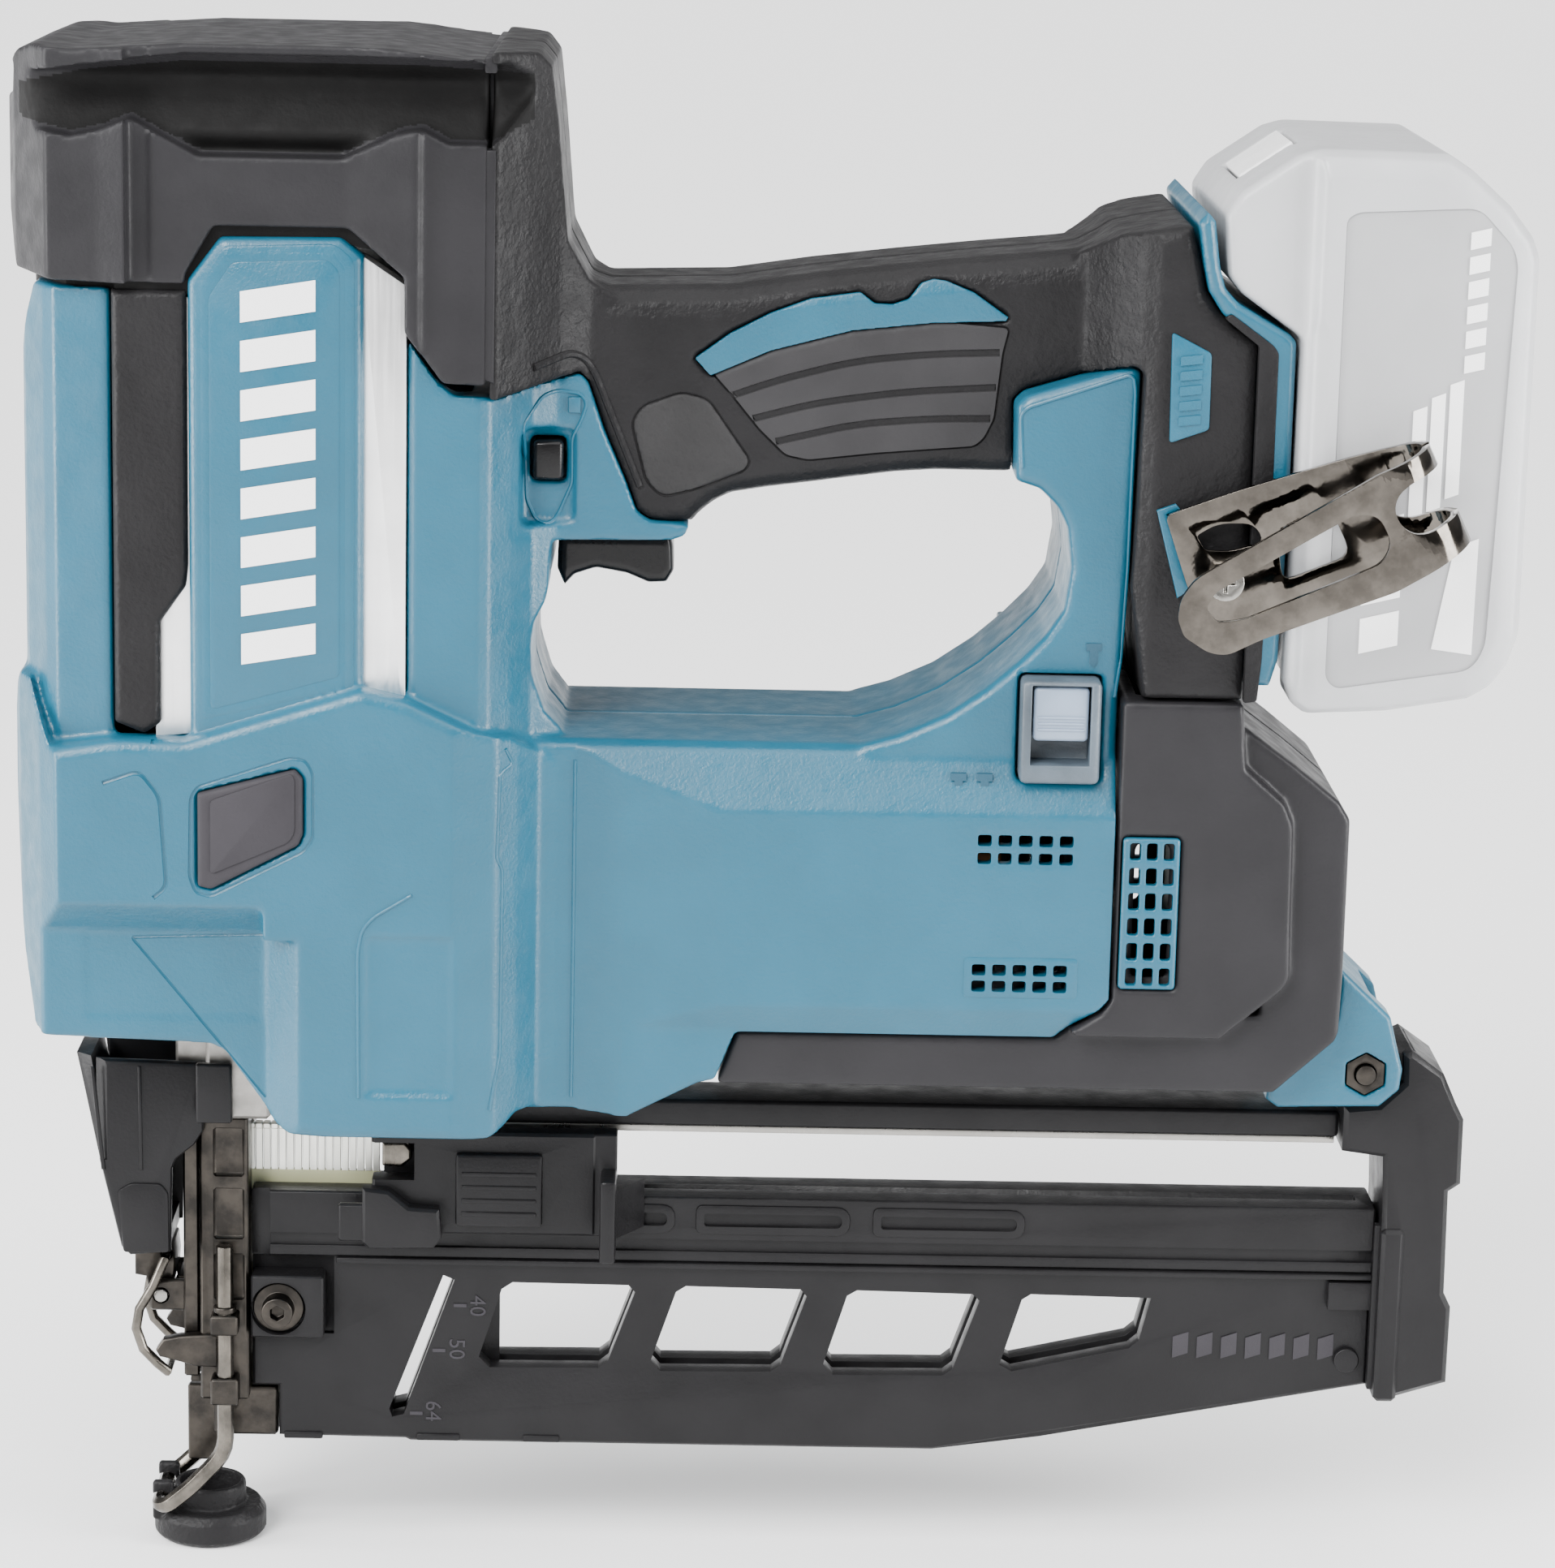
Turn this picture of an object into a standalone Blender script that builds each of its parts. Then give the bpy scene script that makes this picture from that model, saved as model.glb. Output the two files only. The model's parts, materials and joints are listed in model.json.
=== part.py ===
"""Cordless straight brad nailer with a gas-spring drive, nose down, battery at the rear.

Lengths below are millimetres unless a name says otherwise. X runs from the nose to the battery,
Z runs up from the sole of the nose cushion, Y = 0 is the seam between the two housing halves.
Sections are written from the nail axis; NAIL_AXIS_X places that axis in the world.
"""
import math

import bmesh
import bpy
from mathutils import Matrix, Vector

MM = 0.001
NAIL_AXIS_X = -5.0
GAP = 0.3
SEAM = 0.15
LEFT, RIGHT = -1, 1

HEAD_HALF_WIDTH = 41.0
COLUMN_HALF_WIDTH = 36.5
BARREL_HALF_WIDTH = 33.0
HANDLE_HALF_WIDTH = 19.8
FOOT_HALF_WIDTH = 28.0
CYLINDER_X, CYLINDER_R, BORE_R = 18.5, 26.5, 23.0
CHAMBER_R, CHAMBER_WALL = 32.8, 2.0
MOTOR_Z = 143.8
LEVER_PIVOT = (-9.1, 0.0, 53.7)
BAIL_PIVOT = (-8.1, 0.0, 62.0)
DOOR_PIVOT = (-3.2, 0.0, 92.6)
TRIGGER_PIVOT = (88.4, 0.0, 215.8)
LATCH_PIVOT = (46.0, -15.0, 72.0)
NAIL_TOP, NAIL_LENGTH = 89.0, 64.0
HOOK_SCREW = (199.0, 212.5)
BRACKET_BOLT = (234.4, 108.0)

COLOURS = {
    "teal": ((0.075, 0.300, 0.410), 0.45, 0.0),
    "black_rubber": ((0.030, 0.030, 0.033), 0.60, 0.0),
    "black_plastic": ((0.018, 0.018, 0.020), 0.50, 0.0),
    "grey_pad": ((0.075, 0.072, 0.080), 0.65, 0.0),
    "chrome": ((0.75, 0.73, 0.70), 0.12, 1.0),
    "aluminium": ((0.80, 0.80, 0.80), 0.30, 1.0),
    "dark_steel": ((0.10, 0.09, 0.08), 0.40, 0.9),
    "bright_steel": ((0.55, 0.54, 0.52), 0.30, 1.0),
    "collated_nails": ((0.70, 0.69, 0.58), 0.45, 0.3),
    "clear_grey": ((0.60, 0.65, 0.72), 0.25, 0.0),
    "pale_battery": ((0.52, 0.53, 0.54), 0.45, 0.0),
    "copper": ((0.70, 0.30, 0.12), 0.35, 0.9),
    "circuit_green": ((0.03, 0.16, 0.07), 0.50, 0.0),
}


# ---------------------------------------------------------------- scene and helpers
def clear_scene():
    for item in list(bpy.data.objects):
        bpy.data.objects.remove(item, do_unlink=True)


def make_collection(name):
    group = bpy.data.collections.new(name)
    bpy.context.scene.collection.children.link(group)
    return group


def make_material(name):
    colour, roughness, metallic = COLOURS[name]
    material = bpy.data.materials.new(name)
    material.use_nodes = True
    shader = material.node_tree.nodes["Principled BSDF"]
    shader.inputs["Base Color"].default_value = (*colour, 1.0)
    shader.inputs["Roughness"].default_value = roughness
    shader.inputs["Metallic"].default_value = metallic
    return material


clear_scene()
PARTS = make_collection("brad_nailer")
CUTTERS = make_collection("cutters")
MATERIALS = {name: make_material(name) for name in COLOURS}
FRAME = bpy.data.objects.new("tool_frame", None)
FRAME.location = (NAIL_AXIS_X * MM, 0.0, 0.0)
PARTS.objects.link(FRAME)


def solid_from(bm, name):
    """A helper solid; part() turns it into a visible piece."""
    bm.normal_update()
    bmesh.ops.recalc_face_normals(bm, faces=bm.faces)
    mesh = bpy.data.meshes.new(name)
    bm.to_mesh(mesh)
    bm.free()
    obj = bpy.data.objects.new(name, mesh)
    CUTTERS.objects.link(obj)
    obj.parent = FRAME
    obj.hide_render = True
    obj.display_type = "WIRE"
    return obj


def part(obj, name, material, origin=(0.0, 0.0, 0.0)):
    """Makes a solid a visible piece whose object origin is at `origin`."""
    CUTTERS.objects.unlink(obj)
    PARTS.objects.link(obj)
    obj.name = name
    obj.data.name = name
    obj.hide_render = False
    obj.display_type = "TEXTURED"
    obj.data.materials.clear()
    obj.data.materials.append(MATERIALS[material])
    shift = Vector(origin) * MM
    obj.data.transform(Matrix.Translation(-shift))
    obj.location = obj.location + shift
    return obj


def boolean(obj, other, operation):
    modifier = obj.modifiers.new(operation.lower() + "_" + other.name, "BOOLEAN")
    modifier.object = other
    modifier.operation = operation
    modifier.solver = "EXACT"
    return obj


def cut(obj, *others):
    for other in others:
        boolean(obj, other, "DIFFERENCE")
    return obj


def join(obj, *others):
    for other in others:
        boolean(obj, other, "UNION")
    return obj


def keep(obj, *others):
    for other in others:
        boolean(obj, other, "INTERSECT")
    return obj


def point(axis, a, b, level):
    """A point of a section drawn across `axis`, at `level` along it."""
    return {"X": (level, a, b), "Y": (a, level, b), "Z": (a, b, level)}[axis]


def prism(outline, axis, low, high, rim=(0.0, 0.0), steps=1, name="prism"):
    """An outline extruded from low to high, with a chamfer on the rim at each end."""
    bm = bmesh.new()
    corners = [bm.verts.new(Vector(point(axis, a, b, low)) * MM) for a, b in outline]
    base = bm.faces.new(corners)
    grown = bmesh.ops.extrude_face_region(bm, geom=[base])["geom"]
    top = [item for item in grown if isinstance(item, bmesh.types.BMFace)][0]
    travel = Vector(point(axis, 0.0, 0.0, high - low)) * MM
    bmesh.ops.translate(bm, verts=top.verts, vec=travel)
    for face, width in ((base, rim[0]), (top, rim[1])):
        if width > 0.0:
            bmesh.ops.bevel(
                bm, geom=list(face.edges), offset=width * MM, segments=steps,
                profile=0.5, affect="EDGES", clamp_overlap=True,
            )
    return solid_from(bm, name)


def side_prism(outline, side, inner, outer, rim=0.0, steps=1, name="half"):
    """An outline in the XZ plane, from `inner` to `outer` off the seam on one side."""
    if side == LEFT:
        return prism(outline, "Y", -outer, -inner, (rim, 0.0), steps, name)
    return prism(outline, "Y", inner, outer, (0.0, rim), steps, name)


def plan_prism(outline, side, low, high, name="plan"):
    """A plan outline (x, distance off the seam), mirrored to one side."""
    return prism([(x, side * y) for x, y in outline], "Z", low, high, name=name)


def box(x, y, z, bevel=0.0, steps=2, name="box"):
    """A box from three (low, high) pairs, all edges bevelled alike."""
    bm = bmesh.new()
    bmesh.ops.create_cube(bm, size=1.0)
    size = [pair[1] - pair[0] for pair in (x, y, z)]
    middle = [(pair[0] + pair[1]) / 2 for pair in (x, y, z)]
    bmesh.ops.scale(bm, vec=Vector(size) * MM, verts=bm.verts)
    bmesh.ops.translate(bm, vec=Vector(middle) * MM, verts=bm.verts)
    if bevel > 0.0:
        bmesh.ops.bevel(
            bm, geom=list(bm.edges), offset=bevel * MM, segments=steps, profile=0.5,
            affect="EDGES", clamp_overlap=True,
        )
    return solid_from(bm, name)


def side_box(x, side, y, z, bevel=0.0, steps=2, name="box"):
    """A box whose y pair is measured off the seam on one side."""
    return box(x, tuple(sorted((side * y[0], side * y[1]))), z, bevel, steps, name)


def cylinder(centre, axis, radius, low, high, sides=32, radius_end=None, name="round"):
    """A round bar along an axis; centre gives the other two coordinates in X, Y, Z order."""
    bm = bmesh.new()
    bmesh.ops.create_cone(
        bm, cap_ends=True, segments=sides, radius1=radius * MM,
        radius2=(radius if radius_end is None else radius_end) * MM, depth=(high - low) * MM,
    )
    turn = {
        "X": Matrix.Rotation(math.pi / 2, 4, "Y"),
        "Y": Matrix.Rotation(-math.pi / 2, 4, "X"),
        "Z": Matrix.Identity(4),
    }[axis]
    middle = Vector(point(axis, centre[0], centre[1], (low + high) / 2)) * MM
    bm.transform(Matrix.Translation(middle) @ turn)
    return solid_from(bm, name)


def turned(profile, centre, sides=48, name="turned"):
    """A profile of (radius, z) turned about a vertical axis through centre (x, y)."""
    bm = bmesh.new()
    corners = [bm.verts.new(Vector((r, 0.0, z)) * MM) for r, z in profile]
    edges = [bm.edges.new(pair) for pair in zip(corners, corners[1:] + corners[:1])]
    bmesh.ops.spin(
        bm, geom=corners + edges, cent=(0.0, 0.0, 0.0), axis=(0.0, 0.0, 1.0),
        angle=2 * math.pi, steps=sides, use_merge=True,
    )
    bmesh.ops.remove_doubles(bm, verts=bm.verts, dist=1e-6)
    bmesh.ops.translate(bm, vec=Vector((centre[0], centre[1], 0.0)) * MM, verts=bm.verts)
    return solid_from(bm, name)


def rod(path, radius, name="rod"):
    """A round wire along a path of (x, y, z) points, closed at both ends."""
    curve = bpy.data.curves.new(name, "CURVE")
    curve.dimensions = "3D"
    curve.bevel_depth = radius * MM
    curve.bevel_resolution = 2
    curve.use_fill_caps = True
    spline = curve.splines.new("POLY")
    spline.points.add(len(path) - 1)
    for knot, place in zip(spline.points, path):
        knot.co = (*(Vector(place) * MM), 1.0)
    wire = bpy.data.objects.new(name, curve)
    CUTTERS.objects.link(wire)
    bpy.context.view_layer.update()
    mesh = bpy.data.meshes.new_from_object(wire)
    bpy.data.objects.remove(wire, do_unlink=True)
    bm = bmesh.new()
    bm.from_mesh(mesh)
    bmesh.ops.remove_doubles(bm, verts=bm.verts, dist=1e-6)
    return solid_from(bm, name)


def rounded(path, radius, steps=4):
    """The path with each inner corner replaced by a short arc of chords."""
    points = [Vector(p) for p in path]
    result = [tuple(points[0])]
    for before, corner, after in zip(points, points[1:], points[2:]):
        reach = min(radius, (before - corner).length / 2, (after - corner).length / 2)
        start = corner + (before - corner).normalized() * reach
        end = corner + (after - corner).normalized() * reach
        for i in range(steps + 1):
            t = i / steps
            result.append(tuple(start * (1 - t) ** 2 + corner * 2 * t * (1 - t) + end * t * t))
    result.append(tuple(points[-1]))
    return result


# ---------------------------------------------------------------- outlines shared by several pieces
TRIGGER_ZONE = [
    (54, 176), (54, 244.4), (59, 243.8), (74.7, 247.4), (76.3, 245.5), (79.6, 236), (83.7, 226.6),
    (86, 220.4), (88.5, 218.6), (96.3, 218), (95.6, 216), (93.3, 215), (69.6, 214.7),
    (69.2, 206), (68.6, 203), (66.5, 199), (66, 195), (66.1, 189), (66.8, 186.5), (68.6, 181),
    (72, 177), (72, 174), (54, 174),
]
FOOT = [
    (128, 170), (130.3, 176.2), (138, 178.4), (147, 182.5), (155, 188), (161, 193.3),
    (166, 198.5), (169.3, 203.6), (170.5, 212), (169.5, 220), (167.5, 224), (164, 227.5),
    (159.2, 229), (158.8, 243.8), (160.7, 245.6), (181.3, 251.8), (182.7, 250.8),
    (182, 215), (180.6, 187), (180.6, 170),
]
PILLAR = [
    (-13.6, 263.8), (0.6, 263.8), (0.6, 211), (0.2, 207), (-4.7, 200), (-4.8, 180.2),
    (-7.9, 178), (-13.6, 180.2),
]
CRESCENT = [
    (96.8, 250.6), (103.6, 255.6), (111.4, 259.7), (119.1, 262.6), (128.5, 264), (131.3, 261.9),
    (134.8, 261.8), (137.9, 262.9), (140.2, 266), (142.5, 266.8), (145, 266.5), (150.4, 264.4),
    (157.1, 259.8), (156.8, 259), (142.7, 258.4), (127.1, 256.6), (111.5, 252.4), (99.9, 247.3),
]
BADGE = [(2.6, 167.4), (21.4, 172.4), (22.9, 170.7), (22.9, 159.6), (22, 157.4), (5.2, 148.4), (2.6, 149)]
HANDLE = [
    (66, 262), (76, 265.2), (80, 263.8), (103.5, 264.5), (119.5, 267), (135.6, 269), (151.6, 270.8),
    (167.7, 272.4), (171, 272.9), (175, 275), (178, 277), (186, 278.4), (186, 229),
    (159.9, 228.9), (144, 228.9), (136, 228.3), (120, 226), (112, 224.9), (104.3, 223.6),
    (101, 221.9), (98, 219.4), (96.4, 217.3), (90, 215.6), (80, 215.6), (66, 225),
]


def widened(outline, by):
    """The outline grown outward by a clearance."""
    count = len(outline)
    area = sum(
        outline[i][0] * outline[(i + 1) % count][1] - outline[(i + 1) % count][0] * outline[i][1]
        for i in range(count)
    )
    turn = 1.0 if area > 0 else -1.0
    result = []
    for i in range(count):
        corner = Vector(outline[i])
        one = (corner - Vector(outline[i - 1])).normalized()
        two = (Vector(outline[(i + 1) % count]) - corner).normalized()
        normal_one = Vector((one.y, -one.x)) * turn
        normal_two = Vector((two.y, -two.x)) * turn
        middle = normal_one + normal_two
        middle = middle / max(middle.length_squared / 2, 0.6)
        result.append(tuple(corner + middle * by))
    return result


# ---------------------------------------------------------------- housing
def front_block(side):
    outline = [
        (-33.8, 187), (-35.2, 184), (-36, 178), (-36.2, 162), (-35.4, 150), (-33.7, 131),
        (-30.8, 117), (-28, 116.2), (4, 115.2), (7, 113.8), (16.6, 100.2), (19, 98.6), (27, 98),
        (58.8, 98), (61.5, 99.6), (64, 102), (72, 102), (72, 171), (70.6, 172), (62.5, 178.3),
        (56.6, 179.6), (42.5, 186.2), (33.9, 188.2), (0, 177.5), (-13.7, 177.5), (-26, 175.4), (-31, 187),
    ]
    plan = [
        (-36.5, -1), (-36.2, 12), (-34.2, 21), (-28.5, 34.5), (-24.3, 41.5), (50, 41.5),
        (60, 38.2), (64, 33.5), (68, 28), (72.5, 27), (72.5, -1),
    ]
    block = side_prism(outline, side, SEAM, HEAD_HALF_WIDTH, 3.0, 2, "front_block")
    return keep(block, plan_prism(plan, side, 90, 195))


def column(side):
    strip = side_prism(
        [
            (-34.2, 170), (-33.6, 192), (-33.4, 250), (-31.8, 257), (-29.8, 263.2),
            (-28.8, 264), (-13.9, 264), (-13.9, 170),
        ],
        side, SEAM, COLUMN_HALF_WIDTH, name="front_strip",
    )
    plan = [(-36, -1), (-34.3, 11), (-32.3, 20), (-27.4, 30.5), (-25, 33.6), (-15, 35.6), (-13.5, 34.8), (-13, -1)]
    keep(strip, plan_prism(plan, side, 160, 275))
    panel = side_prism(
        [(0.9, 170), (0.9, 265.9), (7.1, 274.1), (29.9, 274.4), (34.2, 271), (34.2, 170)],
        side, 33.2, 38.2, 1.2, 1, "cover_panel",
    )
    field = side_prism(
        [(3.2, 181), (3.2, 265), (8.2, 271.6), (28.6, 271.8), (31, 269), (31, 187.6)],
        side, 37.5, 38.6, 0.4, 1, "panel_field",
    )
    rear = side_prism(
        [(42.3, 170), (42.3, 255.2), (48.2, 246.8), (51.3, 244.6), (57.6, 244.4), (57.6, 170)],
        side, SEAM, COLUMN_HALF_WIDTH, name="rear_strip",
    )
    plan = [(42, -1), (42, 34.8), (44, 36), (56, 36.2), (57.4, 35.4), (58, -1)]
    keep(rear, plan_prism(plan, side, 160, 275))
    return [strip, join(panel, field), rear]


def barrel(side):
    outline = [
        (60, 101.2), (74.7, 101.2), (85.8, 100.2), (100, 107.6), (103.3, 108.2), (107.2, 118.4),
        (170.4, 118.4), (173, 121), (179, 125), (180.6, 127), (180.6, 176.2), (68, 176.2), (60, 178.8),
    ]
    tube = side_prism(outline, side, SEAM, BARREL_HALF_WIDTH, name="barrel")
    section = [
        (-1, 95), (28.5, 95), (29.5, 100), (30, 119), (33.2, 125), (33.2, 163.5),
        (27.5, 175), (24.5, 176.5), (24.5, 190), (-1, 190),
    ]
    keep(tube, prism([(side * y, z) for y, z in section], "X", 55, 190, name="section"))
    plan = [(55, -1), (55, 27.2), (75, 27.2), (85, 29.8), (106.5, 33.4), (182, 33.4), (182, -1)]
    return keep(tube, plan_prism(plan, side, 90, 195))


def trigger_zone(side):
    zone = side_prism(TRIGGER_ZONE, side, SEAM, 36.0, name="trigger_zone")
    plan = [(53, -1), (53, 36), (58, 35.4), (62, 30.5), (66, 25), (71, 22), (98, 20.8), (98, -1)]
    return keep(zone, plan_prism(plan, side, 170, 255))


def foot(side):
    return side_prism(FOOT, side, SEAM, FOOT_HALF_WIDTH, 2.5, 2, "foot")


def housing_cavities(side):
    front = side_prism(
        [(-30, 120), (14, 120), (24, 104), (54, 104), (54, 290), (-30, 290)], side, -1, 33.5, name="cavity",
    )
    plan = [(-30.2, -2), (-30.2, 9), (-28.2, 19), (-23, 29.5), (-20, 33.4), (46, 33.4), (54, 27), (54, -2)]
    keep(front, plan_prism(plan, side, 100, 295))
    section = [
        (-1, 122), (29.3, 122), (29.3, 161), (23.5, 172.4), (-1, 172.4),
    ]
    motor = prism([(side * y, z) for y, z in section], "X", 98, 184, name="cavity")
    gears = side_box((50, 99), side, (-1, 23.8), (122, 171), name="cavity")
    lower = side_box((20, 50), side, (-1, 36.5), (120, 170), name="cavity")
    switch = side_prism(
        [(52, 217.6), (91, 217.6), (84, 221), (80, 229), (73.6, 243), (52, 239)], side, -1, 17, name="cavity",
    )
    neck = side_box((50, 63.2), side, (-1, 17), (170, 235), name="cavity")
    riser = side_prism(
        [(173.6, 168), (173.6, 212), (171, 229), (163, 233), (163, 242), (179, 246.8), (177.4, 187), (177.4, 168)],
        side, -1, 23.5, name="cavity",
    )
    nose = side_box((-11, 14.6), side, (-1, 16.5), (98, 124), name="opening")
    trigger = side_box((68.2, 93.8), side, (-1, 8.8), (202, 218.4), name="opening")
    return [front, motor, gears, lower, switch, neck, riser, nose, trigger]


def vent_cells(side):
    cells = []
    for first_x, rows in ((155.4, (159.2, 155.5)), (155.0, (133.2, 129.8))):
        for column_index in range(5):
            for z in rows:
                x = first_x + 4.0 * column_index
                cells.append(side_box((x - 1.4, x + 1.4), side, (27, 36), (z - 1.2, z + 1.2), 0.0, name="vent"))
    return cells


def housing_cuts(side):
    recess = side_box((-60, 15), side, (34, 60), (80, 138), 0.0, name="lower_recess")
    recess_lead = prism(
        [(side * 33.9, 137.9), (side * 41.6, 145.6), (side * 60, 145.6), (side * 60, 137.9)], "X", -60, 15,
        name="recess_lead",
    )
    recess_end = plan_prism([(14.9, 33.9), (22.6, 41.6), (22.6, 60), (14.9, 60)], side, 80, 138.2, "recess_end")
    badge = side_prism(widened(BADGE, GAP), side, 39.4, 45, name="badge_pocket")
    step = side_box((35, 52), side, (40.3, 45), (107, 139.5), name="step")
    slot = side_box((63.6, 74.4), side, (20.6, 40), (218, 237), 1.6, 3, "lock_recess")
    hole = side_box((65.2, 72.3), side, (-1, 40), (226.2, 235), name="lock_hole")
    bezel = side_box((161, 177.4), side, (24, 40), (170, 191.4), name="bezel_pocket")
    return [recess, recess_lead, recess_end, badge, step, slot, hole, bezel]


def housing_half(side):
    half = front_block(side)
    join(half, *column(side), barrel(side), trigger_zone(side), foot(side))
    cut(half, *housing_cavities(side))
    cut(half, *housing_cuts(side))
    cut(half, *vent_cells(side))
    return part(half, "housing_left" if side == LEFT else "housing_right", "teal")


def name_of(stem, side):
    return stem + ("_left" if side == LEFT else "_right")


def side_guard(side):
    guard = side_prism(PILLAR, side, 33.4, 37.6, 1.0, 1, "guard")
    return part(guard, name_of("side_guard", side), "black_rubber")


def side_pad(side):
    pad = side_prism(BADGE, side, 39.7, 41.9, 0.8, 2, "pad")
    return part(pad, name_of("side_pad", side), "grey_pad")


# ---------------------------------------------------------------- head cap
CAP_PLAN = [
    (-36.4, 0), (-36, 11), (-33.6, 21), (-28, 33), (-25.5, 38.4), (-16, 39.2), (-10.4, 41),
    (-10.1, 37.4), (-6.2, 37.2), (-5.8, 38.2), (31, 38.2), (44.5, 41), (45.2, 39.4), (52, 39.4), (57.4, 38.4),
    (57.4, 0),
]


def mirrored_plan(outline):
    """A closed plan section from its +Y half."""
    inner = [(x, -y) for x, y in reversed(outline) if y > 0.0]
    return [p for p in outline if p[1] > 0.0] + inner


def scoop(side, low_x, high_x):
    """The finger groove under the roof of the head, between two x values."""
    groove = side_prism(
        [
            (-50, 293.6), (-27, 293.6), (-21, 292.5), (-15, 293.9), (-10, 296), (-6, 294), (3, 289.2),
            (30, 289.2), (40.7, 294.2), (45, 295), (50, 292.4), (58.6, 292.4), (65, 300.5), (66, 306.8),
            (58, 307.4), (44, 308.2), (0, 308.2), (-20, 305.6), (-28, 304.2), (-50, 300),
        ],
        side, 29, 60, name="groove",
    )
    section = [(28, 285), (33.5, 293), (27.5, 303), (37.8, 309), (60, 309.5), (60, 285)]
    keep(groove, prism([(side * y, z) for y, z in section], "X", low_x, high_x, name="groove_section"))
    return groove


def head_cap():
    outline = [
        (-33.6, 265.6), (-10.2, 265.2), (0.4, 265.2), (0.6, 267.2), (5.8, 276.2), (31.2, 276.2), (42, 267.4),
        (42, 257), (49.2, 247.4), (57.3, 246.9), (57.3, 308), (53.5, 308.2), (38, 310), (0, 310),
        (-21, 308.6), (-28, 309.2), (-32.5, 307.4), (-35.4, 304), (-36, 297), (-36.4, 292), (-36.2, 277),
        (-34.6, 269),
    ]
    cap = prism(outline, "Y", -HEAD_HALF_WIDTH, HEAD_HALF_WIDTH, name="cap")
    keep(cap, prism(mirrored_plan(CAP_PLAN), "Z", 240, 320, name="cap_plan"))
    inside = [
        (-31, 8), (-29, 19), (-23.5, 30), (-21, 33.6), (44, 33.6), (54, 30), (54, -30), (44, -33.6),
        (-21, -33.6), (-23.5, -30), (-29, -19), (-31, -8),
    ]
    hollow = prism(inside, "Z", 240, 287, name="cap_hollow")
    dome = cylinder((CYLINDER_X, 0), "Z", 28.4, 270, 304, 32, name="dome")
    rear_gap = box((49, 60), (-20, 20), (240, 286), name="rear_gap")
    cut(cap, hollow, dome, rear_gap, scoop(LEFT, -60, 70), scoop(RIGHT, -60, 70))
    nose_lip = [(-40, 296.5), (-34.2, 298.8), (-33.6, 304.4), (-40, 306)]
    cut(cap, prism(nose_lip, "Y", -60, 60, name="nose_lip"))
    return part(cap, "head_cap", "black_rubber")


# ---------------------------------------------------------------- grip, rear body, lower cover
def grip_half(side):
    handle = side_prism(HANDLE, side, SEAM, HANDLE_HALF_WIDTH, 7.0, 3, "handle")
    head = side_prism(
        [
            (57.9, 244), (57.9, 309.4), (59.5, 309.6), (66.5, 309.3), (69, 306.4), (70.4, 294),
            (71.6, 280), (72.2, 273), (76.5, 265), (82, 262), (82, 240), (70, 240),
        ],
        side, SEAM, 38.5, name="grip_head",
    )
    plan = [(57, -1), (57, 38.2), (59.4, 37.4), (65, 31.5), (71, 24), (77, 19.6), (83, 18.6), (83, -1)]
    keep(head, plan_prism(plan, side, 235, 315))
    body = side_prism(
        [
            (168, 262), (170, 272.2), (176, 275.6), (178, 277), (184.5, 278.4), (191, 279.4), (193, 272),
            (194, 267), (196.8, 263), (204.6, 257.6), (204.6, 187.5), (184.8, 187.5), (178, 240), (168, 245),
        ],
        side, SEAM, 33.2, 2.4, 2, "rear_body",
    )
    plan = [(166, -1), (166, 17), (172, 20), (177, 26), (182, 31), (186, 33.4), (208.5, 33.4), (208.5, -1)]
    keep(body, plan_prism(plan, side, 180, 290))
    join(handle, head, body)
    wiring = side_prism(
        [
            (62, 250), (62, 303), (65.6, 303), (67, 282), (69.6, 268), (76, 259.6), (104, 260.6), (136, 265),
            (168, 268.2), (180, 272.6), (187.6, 274.6), (189.5, 266), (193, 260), (201, 254.5), (201, 184),
            (188.5, 184), (188.5, 244), (186, 257), (172, 250), (162, 236), (144, 233), (120, 230.4),
            (106, 228.4), (98, 226), (92, 224), (84, 233), (79, 247), (75, 251.5),
        ],
        side, -1, 15.5, name="wiring",
    )
    rear = side_box((188.2, 201), side, (-1, 29), (184, 253.5), name="rear_hollow")
    seams = [
        side_prism(widened(TRIGGER_ZONE, GAP), side, -1, 50, name="trigger_seam"),
        side_prism(widened(FOOT, GAP), side, -1, 50, name="foot_seam"),
        side_prism(widened(CRESCENT, 0.25), side, 18.0, 50, name="inlay_pocket"),
        side_box((180, 186.5), side, (-1, 50), (180, 187.6), name="cover_seam"),
    ]
    cut(handle, wiring, rear, *seams, scoop(side, -60, 70))
    loops = side_prism(
        [(69.3, 214.9), (96, 214.9), (95.2, 217), (69.3, 217)], side, -1, 50, name="lip_clearance"
    )
    cut(handle, loops)
    return part(handle, name_of("grip", side), "black_rubber")


def grip_inlay(side):
    inlay = side_prism(CRESCENT, side, 18.3, 24, name="inlay")
    keep(inlay, side_prism(HANDLE, side, SEAM, HANDLE_HALF_WIDTH + 0.4, 7.0, 3, "inlay_skin"))
    return part(inlay, name_of("grip_inlay", side), "teal")


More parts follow.
